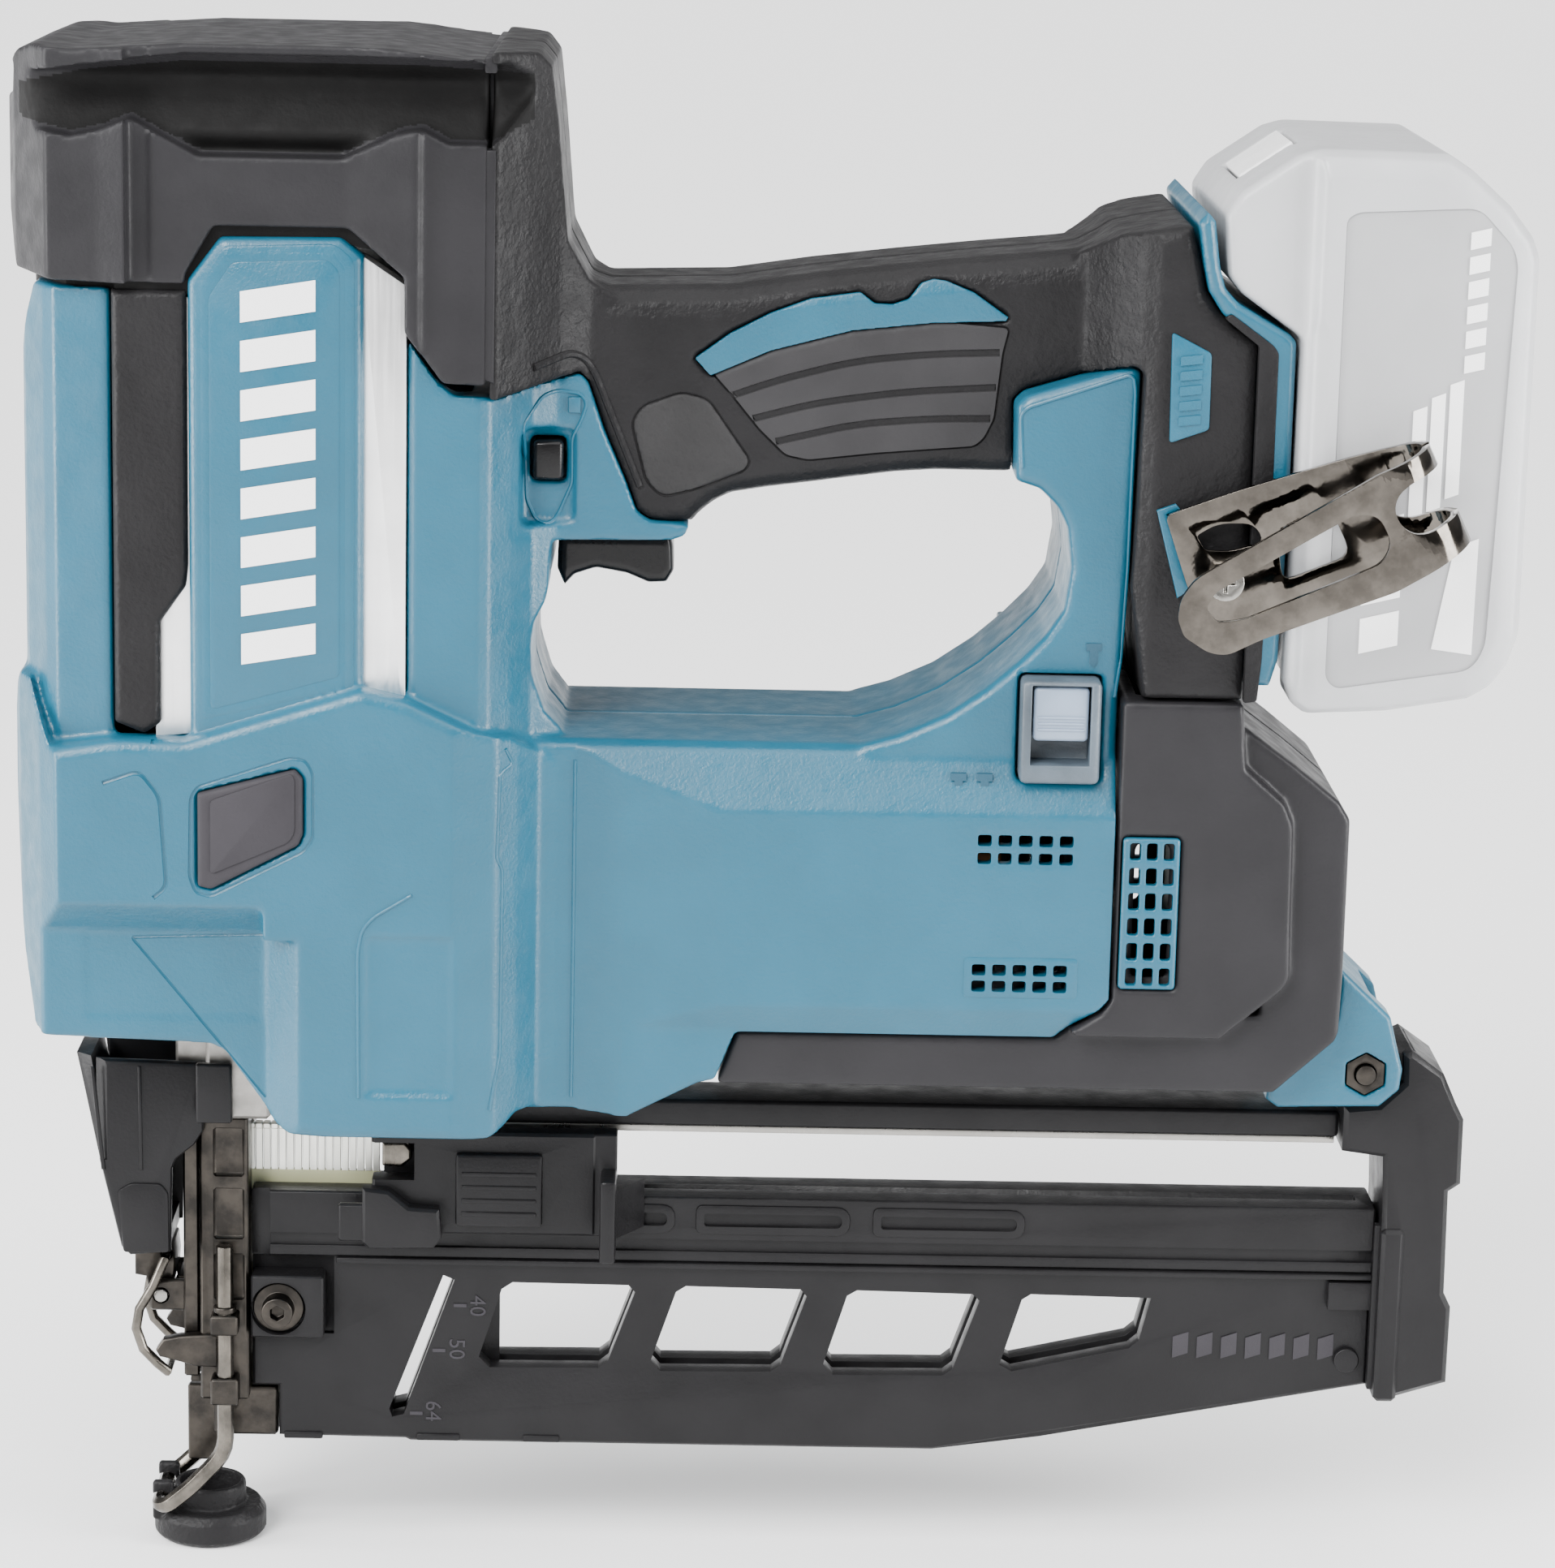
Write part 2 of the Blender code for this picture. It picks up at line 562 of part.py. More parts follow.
def rear_cover(side):
    outline = [
        (103.9, 107), (214.6, 107), (226.3, 117.8), (227, 119.5), (227.3, 132), (227.2, 163), (225, 166.6),
        (216, 173.8), (206.4, 180.8), (204.6, 182), (204.6, 187.1), (181.1, 187.1), (181.1, 126.8), (179.4, 124.4),
        (173.3, 120.4), (170.8, 118), (107.5, 118), (104, 108.4),
    ]
    cover = side_prism(outline, side, SEAM, 28.2, 2.0, 2, "cover")
    bulge = side_prism(
        [
            (181.1, 187.1), (204.6, 187.1), (205.6, 174), (213.5, 167.2), (215.3, 163), (216, 131.8),
            (214.4, 129.3), (202.8, 119.4), (174, 119.4), (173.3, 120.4), (179.4, 124.4), (181.1, 126.8),
        ],
        side, 20, 33.2, 2.0, 2, "bulge",
    )
    hollow = side_prism(
        [
            (180, 112), (212, 112), (222, 121), (222.6, 162), (213, 169.6), (201.2, 178), (201.2, 190),
            (184.6, 190), (184.6, 126), (180, 126),
        ],
        side, -1, 25, name="hollow",
    )
    wide = side_box((184.6, 211), side, (-1, 30), (123, 168), name="wide_hollow")
    channel = side_box((110, 184), side, (-1, 24), (110, 115), name="channel")
    pocket = side_box((181.9, 193.7), side, (31.4, 40), (129.2, 160.4), name="insert_pocket")
    window = side_box((184.8, 191.6), side, (20, 40), (131.5, 158.2), name="insert_window")
    join(cover, bulge)
    cut(cover, hollow, wide, channel, pocket, window)
    return part(cover, name_of("rear_cover", side), "black_plastic")


def vent_insert(side):
    insert = side_box((182.2, 193.4), side, (31.7, 33.8), (129.5, 160.1), 0.5, 1, "insert")
    for row in range(6):
        for rank in range(3):
            x = 184.6 + 3.3 * rank
            z = 157.4 - 5.05 * row
            cut(insert, side_box((x - 1.05, x + 1.05), side, (30, 36), (z - 1.7, z + 1.7), name="cell"))
    return part(insert, name_of("vent_insert", side), "teal")


# ---------------------------------------------------------------- battery side
RIM = [
    (191.8, 280.2), (193.6, 282.2), (195, 280.5), (196.2, 272), (197.4, 267.8), (200, 265), (210.2, 259.2),
    (211.4, 257.8), (211.4, 226), (210.6, 196), (209.2, 191), (205.2, 191), (205.2, 257.2),
    (197.2, 262.8), (194.3, 267.2), (193.2, 272),
]


def battery_mount():
    rim = prism(RIM, "Y", -34.5, 34.5, (1.0, 1.0), 1, name="rim")
    pocket = box((207.4, 214), (-27.6, 27.6), (188, 252), name="rail_pocket")
    return part(cut(rim, pocket), "battery_mount", "teal")


def terminal_block():
    block = box((207.8, 213.6), (-15, 15), (206, 244), 0.8, 1, "block")
    for y in (-9, 0, 9):
        cut(block, box((210.4, 216), (y - 1.0, y + 1.0), (210, 250), name="contact_slot"))
    return part(block, "terminal_block", "black_plastic")


def battery_pack():
    outline = [
        (212.2, 258.6), (200.6, 266.8), (198, 270), (197.4, 276), (196.8, 281.6), (199.6, 286), (210.4, 293.4),
        (214.4, 294.6), (238.5, 294.2), (243.5, 291), (251, 284.4), (255.6, 278.6), (257, 275), (257.2, 202),
        (255.2, 195.8), (252.2, 191.6), (248, 189), (232, 186.2), (216.4, 185.4), (213.6, 187.4), (211.9, 192),
    ]
    pack = prism(outline, "Y", -37.5, 37.5, (5.0, 5.0), 2, name="pack")
    waist = [
        [(190, side * 34.2), (213.4, side * 34.2), (219.4, side * 45), (190, side * 45)] for side in (LEFT, RIGHT)
    ]
    for outline_side in waist:
        cut(pack, prism(outline_side, "Z", 180, 300, name="waist"))
    socket = box((205, 216.2), (-16, 16), (180, 245.6), name="socket")
    rails = box((205, 213.2), (-28.4, 28.4), (180, 253.4), name="rail_room")
    cut(pack, socket, rails)
    button = prism([(199.2, 289.4), (209.8, 296.8), (215.0, 289.3), (204.3, 282.0)], "Y", -13.3, 13.3, name="well")
    return part(cut(pack, button), "battery_pack", "pale_battery", (211.9, 0, 240))


def battery_button():
    outline = [(201.2, 287.2), (211.2, 294.1), (213.0, 291.5), (203.0, 284.6)]
    keycap = prism(outline, "Y", -12.8, 12.8, (0.5, 0.5), 1, name="keycap")
    return part(keycap, "battery_button", "pale_battery", (206, 0, 290))


def hook_slot(low, high, half, y, name="slot"):
    """A round-ended slot along local u, between y levels."""
    ends = []
    for i in range(9):
        angle = math.pi / 2 + math.pi * i / 8
        ends.append((low + half + half * math.cos(angle), half * math.sin(angle)))
    for i in range(9):
        angle = -math.pi / 2 + math.pi * i / 8
        ends.append((high - half + half * math.cos(angle), half * math.sin(angle)))
    return prism(ends, "Y", y[0], y[1], name=name)


def belt_hook():
    """A bent spring-steel strap: base arm on the body, fold at the rear, clip arm with a long slot."""
    thick = 1.5
    centre_line = [(-10.5, -36.0), (24.0, -39.6), (36.5, -41.2)]
    for i in range(1, 8):
        angle = math.pi * i / 8
        centre_line.append((36.5 + 9.4 * math.sin(angle), -50.6 + 9.4 * math.cos(angle)))
    centre_line += [(36.5, -60.0), (20, -58.6), (2, -57.4), (-11.5, -56.4)]
    outer, inner = [], []
    for i, spot in enumerate(centre_line):
        before = Vector(centre_line[max(i - 1, 0)])
        after = Vector(centre_line[min(i + 1, len(centre_line) - 1)])
        along = (after - before).normalized()
        across = Vector((-along.y, along.x)) * thick / 2
        outer.append(tuple(Vector(spot) + across))
        inner.append(tuple(Vector(spot) - across))
    strap = prism(outer + inner[::-1], "Z", -12.0, 12.0, name="strap")
    outline_clip = [
        (-11.5, -2.6), (-8, -8), (4, -9), (20, -10.8), (40, -11.6), (50, -8.4), (50, 8.4), (40, 11.6),
        (20, 10.8), (4, 9), (-8, 7.4), (-11.5, 1.4),
    ]
    keep(strap, prism(outline_clip, "Y", -70, -30, name="strap_outline"))
    cut(strap, hook_slot(-4.5, 31, 3.9, (-70, -48)))
    cut(strap, hook_slot(3.5, 24, 3.4, (-48, -30)))
    cut(strap, cylinder((0, 0), "Y", 2.6, -46, -30, 20, name="screw_hole"))
    cut(strap, cylinder((48.5, 0), "Y", 5.6, -70, -30, 24, name="notch"))
    tilt = math.radians(-26.0)
    for item in [strap] + [m.object for m in strap.modifiers]:
        item.matrix_local = Matrix.Translation(Vector((HOOK_SCREW[0], 0, HOOK_SCREW[1])) * MM) @ Matrix.Rotation(
            tilt, 4, "Y"
        )
    return part(strap, "belt_hook", "chrome")


def hook_screw():
    screw = cylinder(HOOK_SCREW, "Y", 3.6, -41.8, -38.8, 24, 2.9, name="head")
    shank = cylinder(HOOK_SCREW, "Y", 1.9, -39.6, -33.6, 20, name="shank")
    x, z = HOOK_SCREW
    cross = [box((x - 1.9, x + 1.9), (-43, -40.7), (z - 0.35, z + 0.35), name="cross")]
    cross.append(box((x - 0.35, x + 0.35), (-43, -40.7), (z - 1.9, z + 1.9), name="cross"))
    return part(cut(join(screw, shank), *cross), "hook_screw", "bright_steel")


def mode_switch():
    bezel = box((161.4, 177.0), (-33.4, -24.4), (170.4, 191.0), 1.2, 2, "bezel")
    cut(bezel, box((163.4, 175.0), (-40, -26.4), (174.2, 190.0), name="window"))
    part(bezel, "mode_bezel", "clear_grey")
    lens = box((163.8, 174.6), (-32.6, -26.8), (178.9, 189.6), 0.8, 2, "lens")
    part(lens, "mode_slider", "clear_grey", (169.2, -29.7, 184.2))


def rear_bracket():
    outline = [
        (228.2, 130), (239, 119.8), (240.5, 114), (241.9, 109), (241.4, 104.7), (237.5, 101.2), (217, 100.7),
        (214.6, 102.4), (214.9, 106), (227.0, 117.2), (227.8, 120),
    ]
    bracket = prism(outline, "Y", -17, 17, (0.8, 0.8), 1, name="bracket")
    slot = box((224.5, 250), (-8.7, 8.7), (90, 123), name="fork")
    bore = cylinder(BRACKET_BOLT, "Y", 2.4, -30, 30, 24, name="bore")
    near_hex = cylinder(BRACKET_BOLT, "Y", 4.7, -30, -13.6, 6, name="nut_pocket")
    far_round = cylinder(BRACKET_BOLT, "Y", 4.6, 13.6, 30, 24, name="head_pocket")
    return part(cut(bracket, slot, bore, near_hex, far_round), "rear_bracket", "teal")


def bracket_fixings():
    bolt = cylinder(BRACKET_BOLT, "Y", 2.0, -17.6, 14.2, 24, name="bolt")
    head = cylinder(BRACKET_BOLT, "Y", 4.1, 13.9, 17.4, 24, name="bolt_head")
    socket = cylinder(BRACKET_BOLT, "Y", 1.9, 15.4, 20, 6, name="hex_socket")
    part(cut(join(bolt, head), socket), "bracket_bolt", "bright_steel")
    nut = cylinder(BRACKET_BOLT, "Y", 4.3, -16.6, -13.9, 6, name="nut")
    bore = cylinder(BRACKET_BOLT, "Y", 2.3, -20, -10, 24, name="nut_bore")
    part(cut(nut, bore), "bracket_nut", "bright_steel")


# ---------------------------------------------------------------- drive, inside the housing
def drive_cylinder():
    """The cylinder and the gas chamber around it, joined by the flange at their foot."""
    inside = CHAMBER_R - CHAMBER_WALL
    profile = [
        (BORE_R, 163.2), (CHAMBER_R, 163.2), (CHAMBER_R, 286.4), (inside, 286.4), (inside, 167),
        (CYLINDER_R, 167), (CYLINDER_R, 288), (BORE_R, 288),
    ]
    return part(turned(profile, (CYLINDER_X, 0), name="tube"), "drive_cylinder", "aluminium", (CYLINDER_X, 0, 224))


def cylinder_head():
    profile = [
        (0, 282), (22.7, 282), (22.7, 288.3), (27.2, 288.3), (27.2, 291), (24, 296), (14, 300.4), (6, 301),
        (6, 303), (0, 303),
    ]
    return part(turned(profile, (CYLINDER_X, 0), name="head"), "cylinder_head", "aluminium", (CYLINDER_X, 0, 288))


def bumper():
    ring = turned([(12, 154.6), (22.6, 154.6), (22.6, 162.6), (19, 162.6), (16, 160), (12, 160)], (CYLINDER_X, 0), 40, "ring")
    hole = box((-8, 4.7), (-6, 8.6), (140, 170), name="blade_hole")
    return part(cut(ring, hole), "bumper", "black_rubber", (CYLINDER_X, 0, 158))


def piston():
    body = turned(
        [
            (0, 240), (5, 240), (5, 246), (22.4, 246), (22.4, 250), (21.2, 250), (21.2, 252.5), (22.4, 252.5),
            (22.4, 258), (18, 260), (0, 260),
        ],
        (CYLINDER_X, 0), 40, "disc",
    )
    lug = box((-2.6, 3.9), (-5, 5), (238, 247.4), name="lug")
    slot = box((-1.1, 1.1), (-3.6, 3.6), (230, 243.2), name="blade_slot")
    return part(cut(join(body, lug), slot), "piston", "aluminium", (CYLINDER_X, 0, 248))


def driver_blade():
    blade = box((-0.8, 0.8), (-3.2, 3.2), (143, 242.8), name="blade")
    tip = box((-0.8, 0.8), (-1.45, 1.45), (90.2, 144), name="tip")
    join(blade, tip)
    for tooth in range(6):
        low = 154.6 + 12.5 * tooth
        join(blade, box((-0.8, 0.8), (2.8, 7.6), (low, low + 5), name="tooth"))
    return part(blade, "driver_blade", "bright_steel", (0, 0, 90.2))


def drive_frame():
    """The alloy casting that carries cylinder, gearbox and nose."""
    frame = box((-9, 53.6), (-26, 26), (122.4, 154.2), 1.5, 1, "frame")
    room = box((-6, 50.6), (-23, 23), (125.4, 151.2), name="room")
    foot_block = box((0.9, 13.9), (-13.5, 13.5), (93.4, 124), 0.8, 1, "foot_block")
    hinge_block = box((-5.6, 2), (-9.4, 9.4), (95.6, 124), 0.6, 1, "hinge_block")
    join(frame, foot_block, hinge_block)
    blade_pass = box((-1.6, 1.6), (-8.4, 8.4), (80, 160), name="blade_pass")
    bore = cylinder((CYLINDER_X, 0), "Z", 20, 140, 160, 32, name="bore")
    shaft = cylinder((0, MOTOR_Z), "X", 9, 40, 70, 24, name="shaft_hole")
    open_side = box((2, 46), (-40, 40), (127.4, 149.2), name="side_window")
    return part(cut(frame, room, blade_pass, bore, shaft, open_side), "drive_frame", "aluminium", (0, 0, 122))


# ---------------------------------------------------------------- motor and lifter
def lifter():
    """Lifter wheel, its drive shaft and the planet carrier: one turning piece."""
    wheel = cylinder((0, MOTOR_Z), "X", 9.8, 4.6, 8.6, 36, name="wheel")
    for i in range(5):
        angle = math.radians(40 + 45 * i)
        y, z = 7.8 * math.cos(angle), MOTOR_Z + 7.8 * math.sin(angle)
        join(wheel, cylinder((y, z), "X", 1.6, 1.4, 6.0, 14, name="pin"))
    shaft = cylinder((0, MOTOR_Z), "X", 5, 8, 84, 24, name="shaft")
    carrier = cylinder((0, MOTOR_Z), "X", 16, 83, 92, 36, name="carrier")
    return part(join(wheel, shaft, carrier), "lifter", "bright_steel", (6.6, 0, MOTOR_Z))


def gearbox_case():
    axis = (0, MOTOR_Z)
    case = cylinder(axis, "X", 11.3, 60, 81, 36, 21.2, name="nose_cone")
    join(case, cylinder(axis, "X", 21.4, 80.6, 108, 40, name="ring"))
    cut(case, cylinder(axis, "X", 5.4, 50, 84, 28, name="bore"))
    cut(case, cylinder(axis, "X", 18.4, 82.4, 120, 40, name="gear_room"))
    return part(case, "gearbox_case", "aluminium", (84, 0, MOTOR_Z))


def motor():
    axis = (0, MOTOR_Z)
    stator = cylinder(axis, "X", 21.4, 124, 152, 40, name="stator")
    join(stator, cylinder(axis, "X", 19.6, 118.5, 159.5, 36, name="coils"))
    cut(stator, cylinder(axis, "X", 12.6, 100, 180, 36, name="bore"))
    for i in range(6):
        angle = math.pi / 3 * i
        slot = cylinder((13.4 * math.cos(angle), MOTOR_Z + 13.4 * math.sin(angle)), "X", 2.1, 100, 180, 12, name="slot")
        cut(stator, slot)
    part(stator, "motor_stator", "copper", (138, 0, MOTOR_Z))
    rotor = cylinder(axis, "X", 12.0, 121, 156, 32, name="core")
    join(rotor, cylinder(axis, "X", 2.5, 108.6, 178, 20, name="shaft"))
    fan = cylinder(axis, "X", 20.6, 165, 167.4, 36, name="fan")
    join(fan, cylinder(axis, "X", 6.5, 163, 173, 24, name="hub"))
    for i in range(9):
        angle = 2 * math.pi * i / 9
        vane = box((167, 172.6), (8, 19.6), (-0.7, 0.7), name="vane")
        vane.data.transform(Matrix.Rotation(angle, 4, "X"))
        vane.data.transform(Matrix.Translation(Vector((0, 0, MOTOR_Z)) * MM))
        join(fan, vane)
    return part(join(rotor, fan), "motor_rotor", "bright_steel", (140, 0, MOTOR_Z))


def controller_board():
    tray = box((196, 199.2), (-21, 21), (124, 164), 0.4, 1, "board")
    for y, z in ((-14, 132), (-14, 146), (0, 132), (0, 146), (14, 139)):
        join(tray, box((198.8, 205), (y - 4, y + 4), (z - 5, z + 5), name="component"))
    return part(tray, "controller_board", "circuit_green", (197, 0, 144))


# ---------------------------------------------------------------- trigger and switches
def trigger():
    """Pivots at its rear upper corner; the finger pushes the front edge up."""
    outline = [
        (70.5, 213.4), (92.6, 213.6), (93.2, 211.6), (93.4, 206.6), (92, 204.2), (88.4, 204.0), (84, 205.8),
        (78, 206.8), (73.8, 205.4), (71.8, 203.2), (70.3, 206.6),
    ]
    lever = prism(outline, "Y", -8.4, 8.4, (1.6, 1.6), 2, name="lever")
    stem = box((74.2, 90.8), (-6.4, 6.4), (210, 218.0), 0.6, 1, "stem")
    relief = cylinder((TRIGGER_PIVOT[0], TRIGGER_PIVOT[2]), "Y", 1.5, -10, 10, 20, name="pivot_hole")
    return part(cut(join(lever, stem), relief), "trigger", "black_plastic", TRIGGER_PIVOT)


def trigger_pin():
    pin = cylinder((TRIGGER_PIVOT[0], TRIGGER_PIVOT[2]), "Y", 1.2, -6.9, 6.9, 20, name="pin")
    return part(pin, "trigger_pin", "bright_steel", TRIGGER_PIVOT)


def trigger_switch():
    body = box((72.9, 79.6), (-9, 9), (222.6, 229), 0.6, 1, "body")
    join(body, box((74.6, 77.2), (-2.4, 2.4), (221.4, 223), name="plunger"))
    return part(body, "trigger_switch", "black_plastic", (76, 0, 226))


def lock_button():
    """Cross bolt: pushed through from either side to free or lock the trigger."""
    bolt = box((65.9, 71.7), (-23.2, 19.6), (226.8, 234.4), 0.8, 2, "bolt")
    return part(bolt, "lock_button", "black_plastic", (68.8, 0, 230.6))


# ---------------------------------------------------------------- nose
def driver_guide():
    guide = box((-0.9, 9.0), (-9.5, 9.5), (32, 92.6), 0.5, 1, "guide")
    join(guide, box((-4.2, 3.4), (-3.6, 3.6), (16.5, 33), 0.4, 1, "tip"))
    join(guide, box((1.4, 14.6), (-6, 6), (23, 33.4), 0.6, 1, "shoe"))
    for side in (LEFT, RIGHT):
        for low, high in ((47.4, 51.6), (32.4, 38.0)):
            join(guide, side_box((1.6, 7.2), side, (9.0, 14.3), (low, high), 0.4, 1, "eye"))
        hook = side_prism(
            [(-9.9, 43), (-8.4, 45.2), (-5, 46), (0.6, 46.4), (5, 46.4), (5, 39.4), (-1.6, 39.6), (-6.6, 41.0), (-9.1, 41.6)],
            side, 8.3, 11.0, 0.3, 1, "bail_hook",
        )
        join(guide, hook)
    channel = box((-5, 1.1), (-1.8, 1.8), (10, 100), name="channel")
    lower = box((-5, -1.1), (-2.6, 2.6), (10, 31.9), name="lower")
    nails = box((0.9, 20), (-1.8, 1.8), (24.4, 89.8), name="nail_slot")
    teeth = box((-3, 1.2), (-3.6, 8.3), (60, 100), name="tooth_room")
    cut(guide, join(channel, lower, teeth), nails)
    for side in (LEFT, RIGHT):
        for low, high in ((80, 90.4), (66.6, 77.6), (53.6, 63.6)):
            cut(guide, side_box((1.9, 8.2), side, (8.3, 12), (low, high), 0.5, 1, "pocket"))
        cut(guide, cylinder((4.4, side * 11.8), "Z", 2.1, 20, 60, 20, name="rod_hole"))
    return part(guide, "driver_guide", "dark_steel", (0, 0, 62))


def nose_bracket():
    block = box((-0.9, 6.4), (-16.0, -13.8), (93.2, 105.6), 0.4, 1, "block")
    return part(block, "nose_bracket", "black_plastic", (3, -15, 99))


def nose_door():
    """Front plate of the driver guide, hinged at the top, carrying the latch."""
    door = box((-4.4, -1.25), (-8.0, 8.0), (36.4, 92.4), 0.4, 1, "door")
    join(door, cylinder((DOOR_PIVOT[0], DOOR_PIVOT[2]), "Y", 1.95, -8.0, 8.0, 24, name="knuckle"))
    for side in (LEFT, RIGHT):
        join(door, side_box((-11.4, -4.0), side, (5.9, 7.7), (50.4, 57.0), 0.5, 1, "ear"))
    join(door, box((-6.1, -4.0), (-4.6, 4.6), (50.6, 57.0), 0.3, 1, "stop"))
    hole = cylinder((LEVER_PIVOT[0], LEVER_PIVOT[2]), "Y", 1.75, -12, 12, 20, name="pivot_hole")
    return part(cut(door, hole), "nose_door", "dark_steel", DOOR_PIVOT)


def latch_lever():
    outline = [
        (-25.8, 105.2), (0.0, 104.6), (0.2, 90.4), (-1.6, 87.4), (-5.4, 84.2), (-6.2, 82.2), (-6.6, 64.4),
        (-14.8, 63.6), (-16.6, 65.4),
    ]
    hood = prism(outline, "Y", -12.2, 12.2, (1.0, 1.0), 2, name="hood")
    hollow = prism([(-23.6, 110), (5, 110), (5, 60), (-14.4, 60), (-14.8, 66)], "Y", -10.3, 10.3, name="hollow")
    corner = [
        prism([(-30, side * 13), (-30, side * 5), (-24.9, side * 7.6), (-19, side * 12.3), (-19, side * 13)],
              "Z", 84, 110, name="corner")
        for side in (LEFT, RIGHT)
    ]
    base = box((-15.6, -7.2), (-10.6, 10.6), (64.2, 68), name="base")
    cut(hood, hollow, *corner)
    join(hood, base)
    return part(hood, "latch_lever", "black_plastic", LEVER_PIVOT)


def latch_plate():
    """Steel root of the latch lever, on the pivot."""
    outline = [(-14.6, 63.9), (-6.8, 63.9), (-6.4, 60), (-6.6, 57.6), (-7.4, 55.4), (-7.4, 52.4), (-9.4, 51), (-11.4, 52.4), (-12.4, 57.0), (-14.6, 57.4)]
    plate = prism(outline, "Y", -5.6, 5.6, (0.3, 0.3), 1, name="plate")
    pivot = cylinder((LEVER_PIVOT[0], LEVER_PIVOT[2]), "Y", 1.75, -12, 12, 20, name="pivot_hole")
    wire = cylinder((BAIL_PIVOT[0], BAIL_PIVOT[2]), "Y", 1.35, -12, 12, 20, name="wire_hole")
    return part(cut(plate, pivot, wire), "latch_plate", "dark_steel", LEVER_PIVOT)


def latch_pin():
    pin = cylinder((LEVER_PIVOT[0], LEVER_PIVOT[2]), "Y", 1.4, -8.1, 8.1, 20, name="pin")
    return part(pin, "latch_pin", "bright_steel", LEVER_PIVOT)


def latch_bail():
    half = [
        (-8.1, 3, 62), (-8.1, 9.4, 62), (-10.4, 9.4, 56.4), (-13.3, 9.4, 51.4), (-14.0, 9.4, 47.2), (-12.6, 9.4, 42.8),
        (-9.6, 9.4, 39.6), (-7.6, 9.4, 37.9),
    ]
    path = half + [(x, -y, z) for x, y, z in reversed(half)]
    return part(rod(path, 1.05, "bail"), "latch_bail", "bright_steel", BAIL_PIVOT)


def contact_arm():
    half = [(4.4, 11.8, 66.0), (4.4, 11.8, 21.5), (-2.6, 11.4, 13.6), (-7.6, 10.4, 9.2), (-9.6, 8.6, 8.5), (-9.6, 4.0, 8.5)]
    path = rounded(half, 3.2, 3) + [(x, -y, z) for x, y, z in reversed(rounded(half, 3.2, 3))]
    return part(rod(path, 1.75, "wire"), "contact_arm", "bright_steel", (4.4, 0, 43))


def nose_cushion():
    profile = [
        (2.5, 0), (10.9, 0), (11.6, 0.9), (11.6, 4.6), (10.4, 6.3), (7.4, 6.3), (7.4, 10.4), (6.9, 11.0),
        (6.3, 11.0), (6.3, 2.6), (2.5, 2.6),
    ]
    disc = turned(profile, (0, 0), 40, "disc")
    for side in (LEFT, RIGHT):
        disc = join(disc, side_box((-11.4, -7.0), side, (4.4, 6.4), (4, 12.6), 0.5, 1, "clip"))
    groove = rod([(-9.6, -20, 8.5), (-9.6, 20, 8.5)], 2.1, "wire_seat")
    return part(cut(disc, groove), "nose_cushion", "black_rubber")


# ---------------------------------------------------------------- magazine
WINDOWS = [
    [(60.6, 55.8), (62.8, 57.3), (86.6, 57.1), (88, 55.6), (82.6, 40.6), (80.6, 39), (58.2, 38.8), (56, 41)],
    [(96.4, 55.8), (98.4, 57.1), (122, 56.8), (123.3, 55.3), (118.2, 40.4), (116.2, 38.8), (93.4, 38.6), (91.4, 40.8)],
    [(131.6, 55.6), (133.6, 56.8), (157.4, 56.4), (158.9, 55), (153.8, 40.2), (151.8, 38.6), (129, 38.4), (127, 40.6)],
    [(167.6, 55.4), (169.4, 56.6), (194.2, 56.2), (192, 47), (190, 45.2), (166, 39.8), (163.4, 41.2)],
]


def magazine_body():
    """Two walls with the nail channel between them, lightened by slanted windows."""
    upper = box((9.4, 239.4), (-7.5, 7.5), (62.6, 76.6), 0.4, 1, "upper")
    lower = prism(
        [
            (9.4, 64), (9.4, 34.0), (14.9, 34.0), (14.9, 23.2), (41, 22.9), (42, 22.4), (52, 22.3), (60, 22.2),
            (150, 22.3), (172, 25.4), (239.4, 38.2), (239.4, 64),
        ],
        "Y", -6.3, 6.3, (0.6, 0.6), 1, name="lower",
    )
    join(upper, lower)
    nails = prism([(5, 24.4), (172, 27.4), (236, 39.8), (236, 90), (5, 90)], "Y", -1.75, 1.75, name="nail_room")
    cut(upper, nails)
    cut(upper, *[prism(outline, "Y", -20, 20, name="window") for outline in WINDOWS])
    sight = prism([(48.6, 58.6), (51, 57.6), (40.6, 28.2), (38.2, 27.6), (37.6, 29.4)], "Y", -20, 20, name="sight")
    cut(upper, sight)
    for side in (LEFT, RIGHT):
        cut(upper, side_box((-10, 260), side, (6.4, 20), (65.0, 67.6), name="groove"))
        for low, high in ((70, 94.6), (101.6, 130.4), (137.8, 166.2)):
            cut(upper, side_box((low, high), side, (6.6, 20), (70.2, 73.8), 0.0, name="pocket"))
        cut(upper, side_box((9, 26.2), side, (4.9, 20), (45.6, 62.4), 0.0, name="clamp_recess"))
        cut(upper, side_box((8, 13.2), side, (6.0, 20), (60, 80), 0.0, name="guide_relief"))
    return part(upper, "magazine_body", "black_plastic", (124, 0, 50))


def magazine_rail():
    rail = box((20, 231.0), (-7.0, 7.0), (91.6, 97.2), 0.6, 1, "rail")
    cut(rail, box((10, 228), (-2.2, 2.2), (90, 93.4), name="head_room"))
    return part(rail, "magazine_rail", "black_plastic", (124, 0, 94))


def nail_rail():
    rail = box((20, 230.4), (-5.2, 5.2), (89.9, 91.3), name="rail")
    cut(rail, box((10, 226), (-1.5, 1.5), (80, 95), name="slit"))
    return part(rail, "nail_rail", "bright_steel", (124, 0, 90.6))


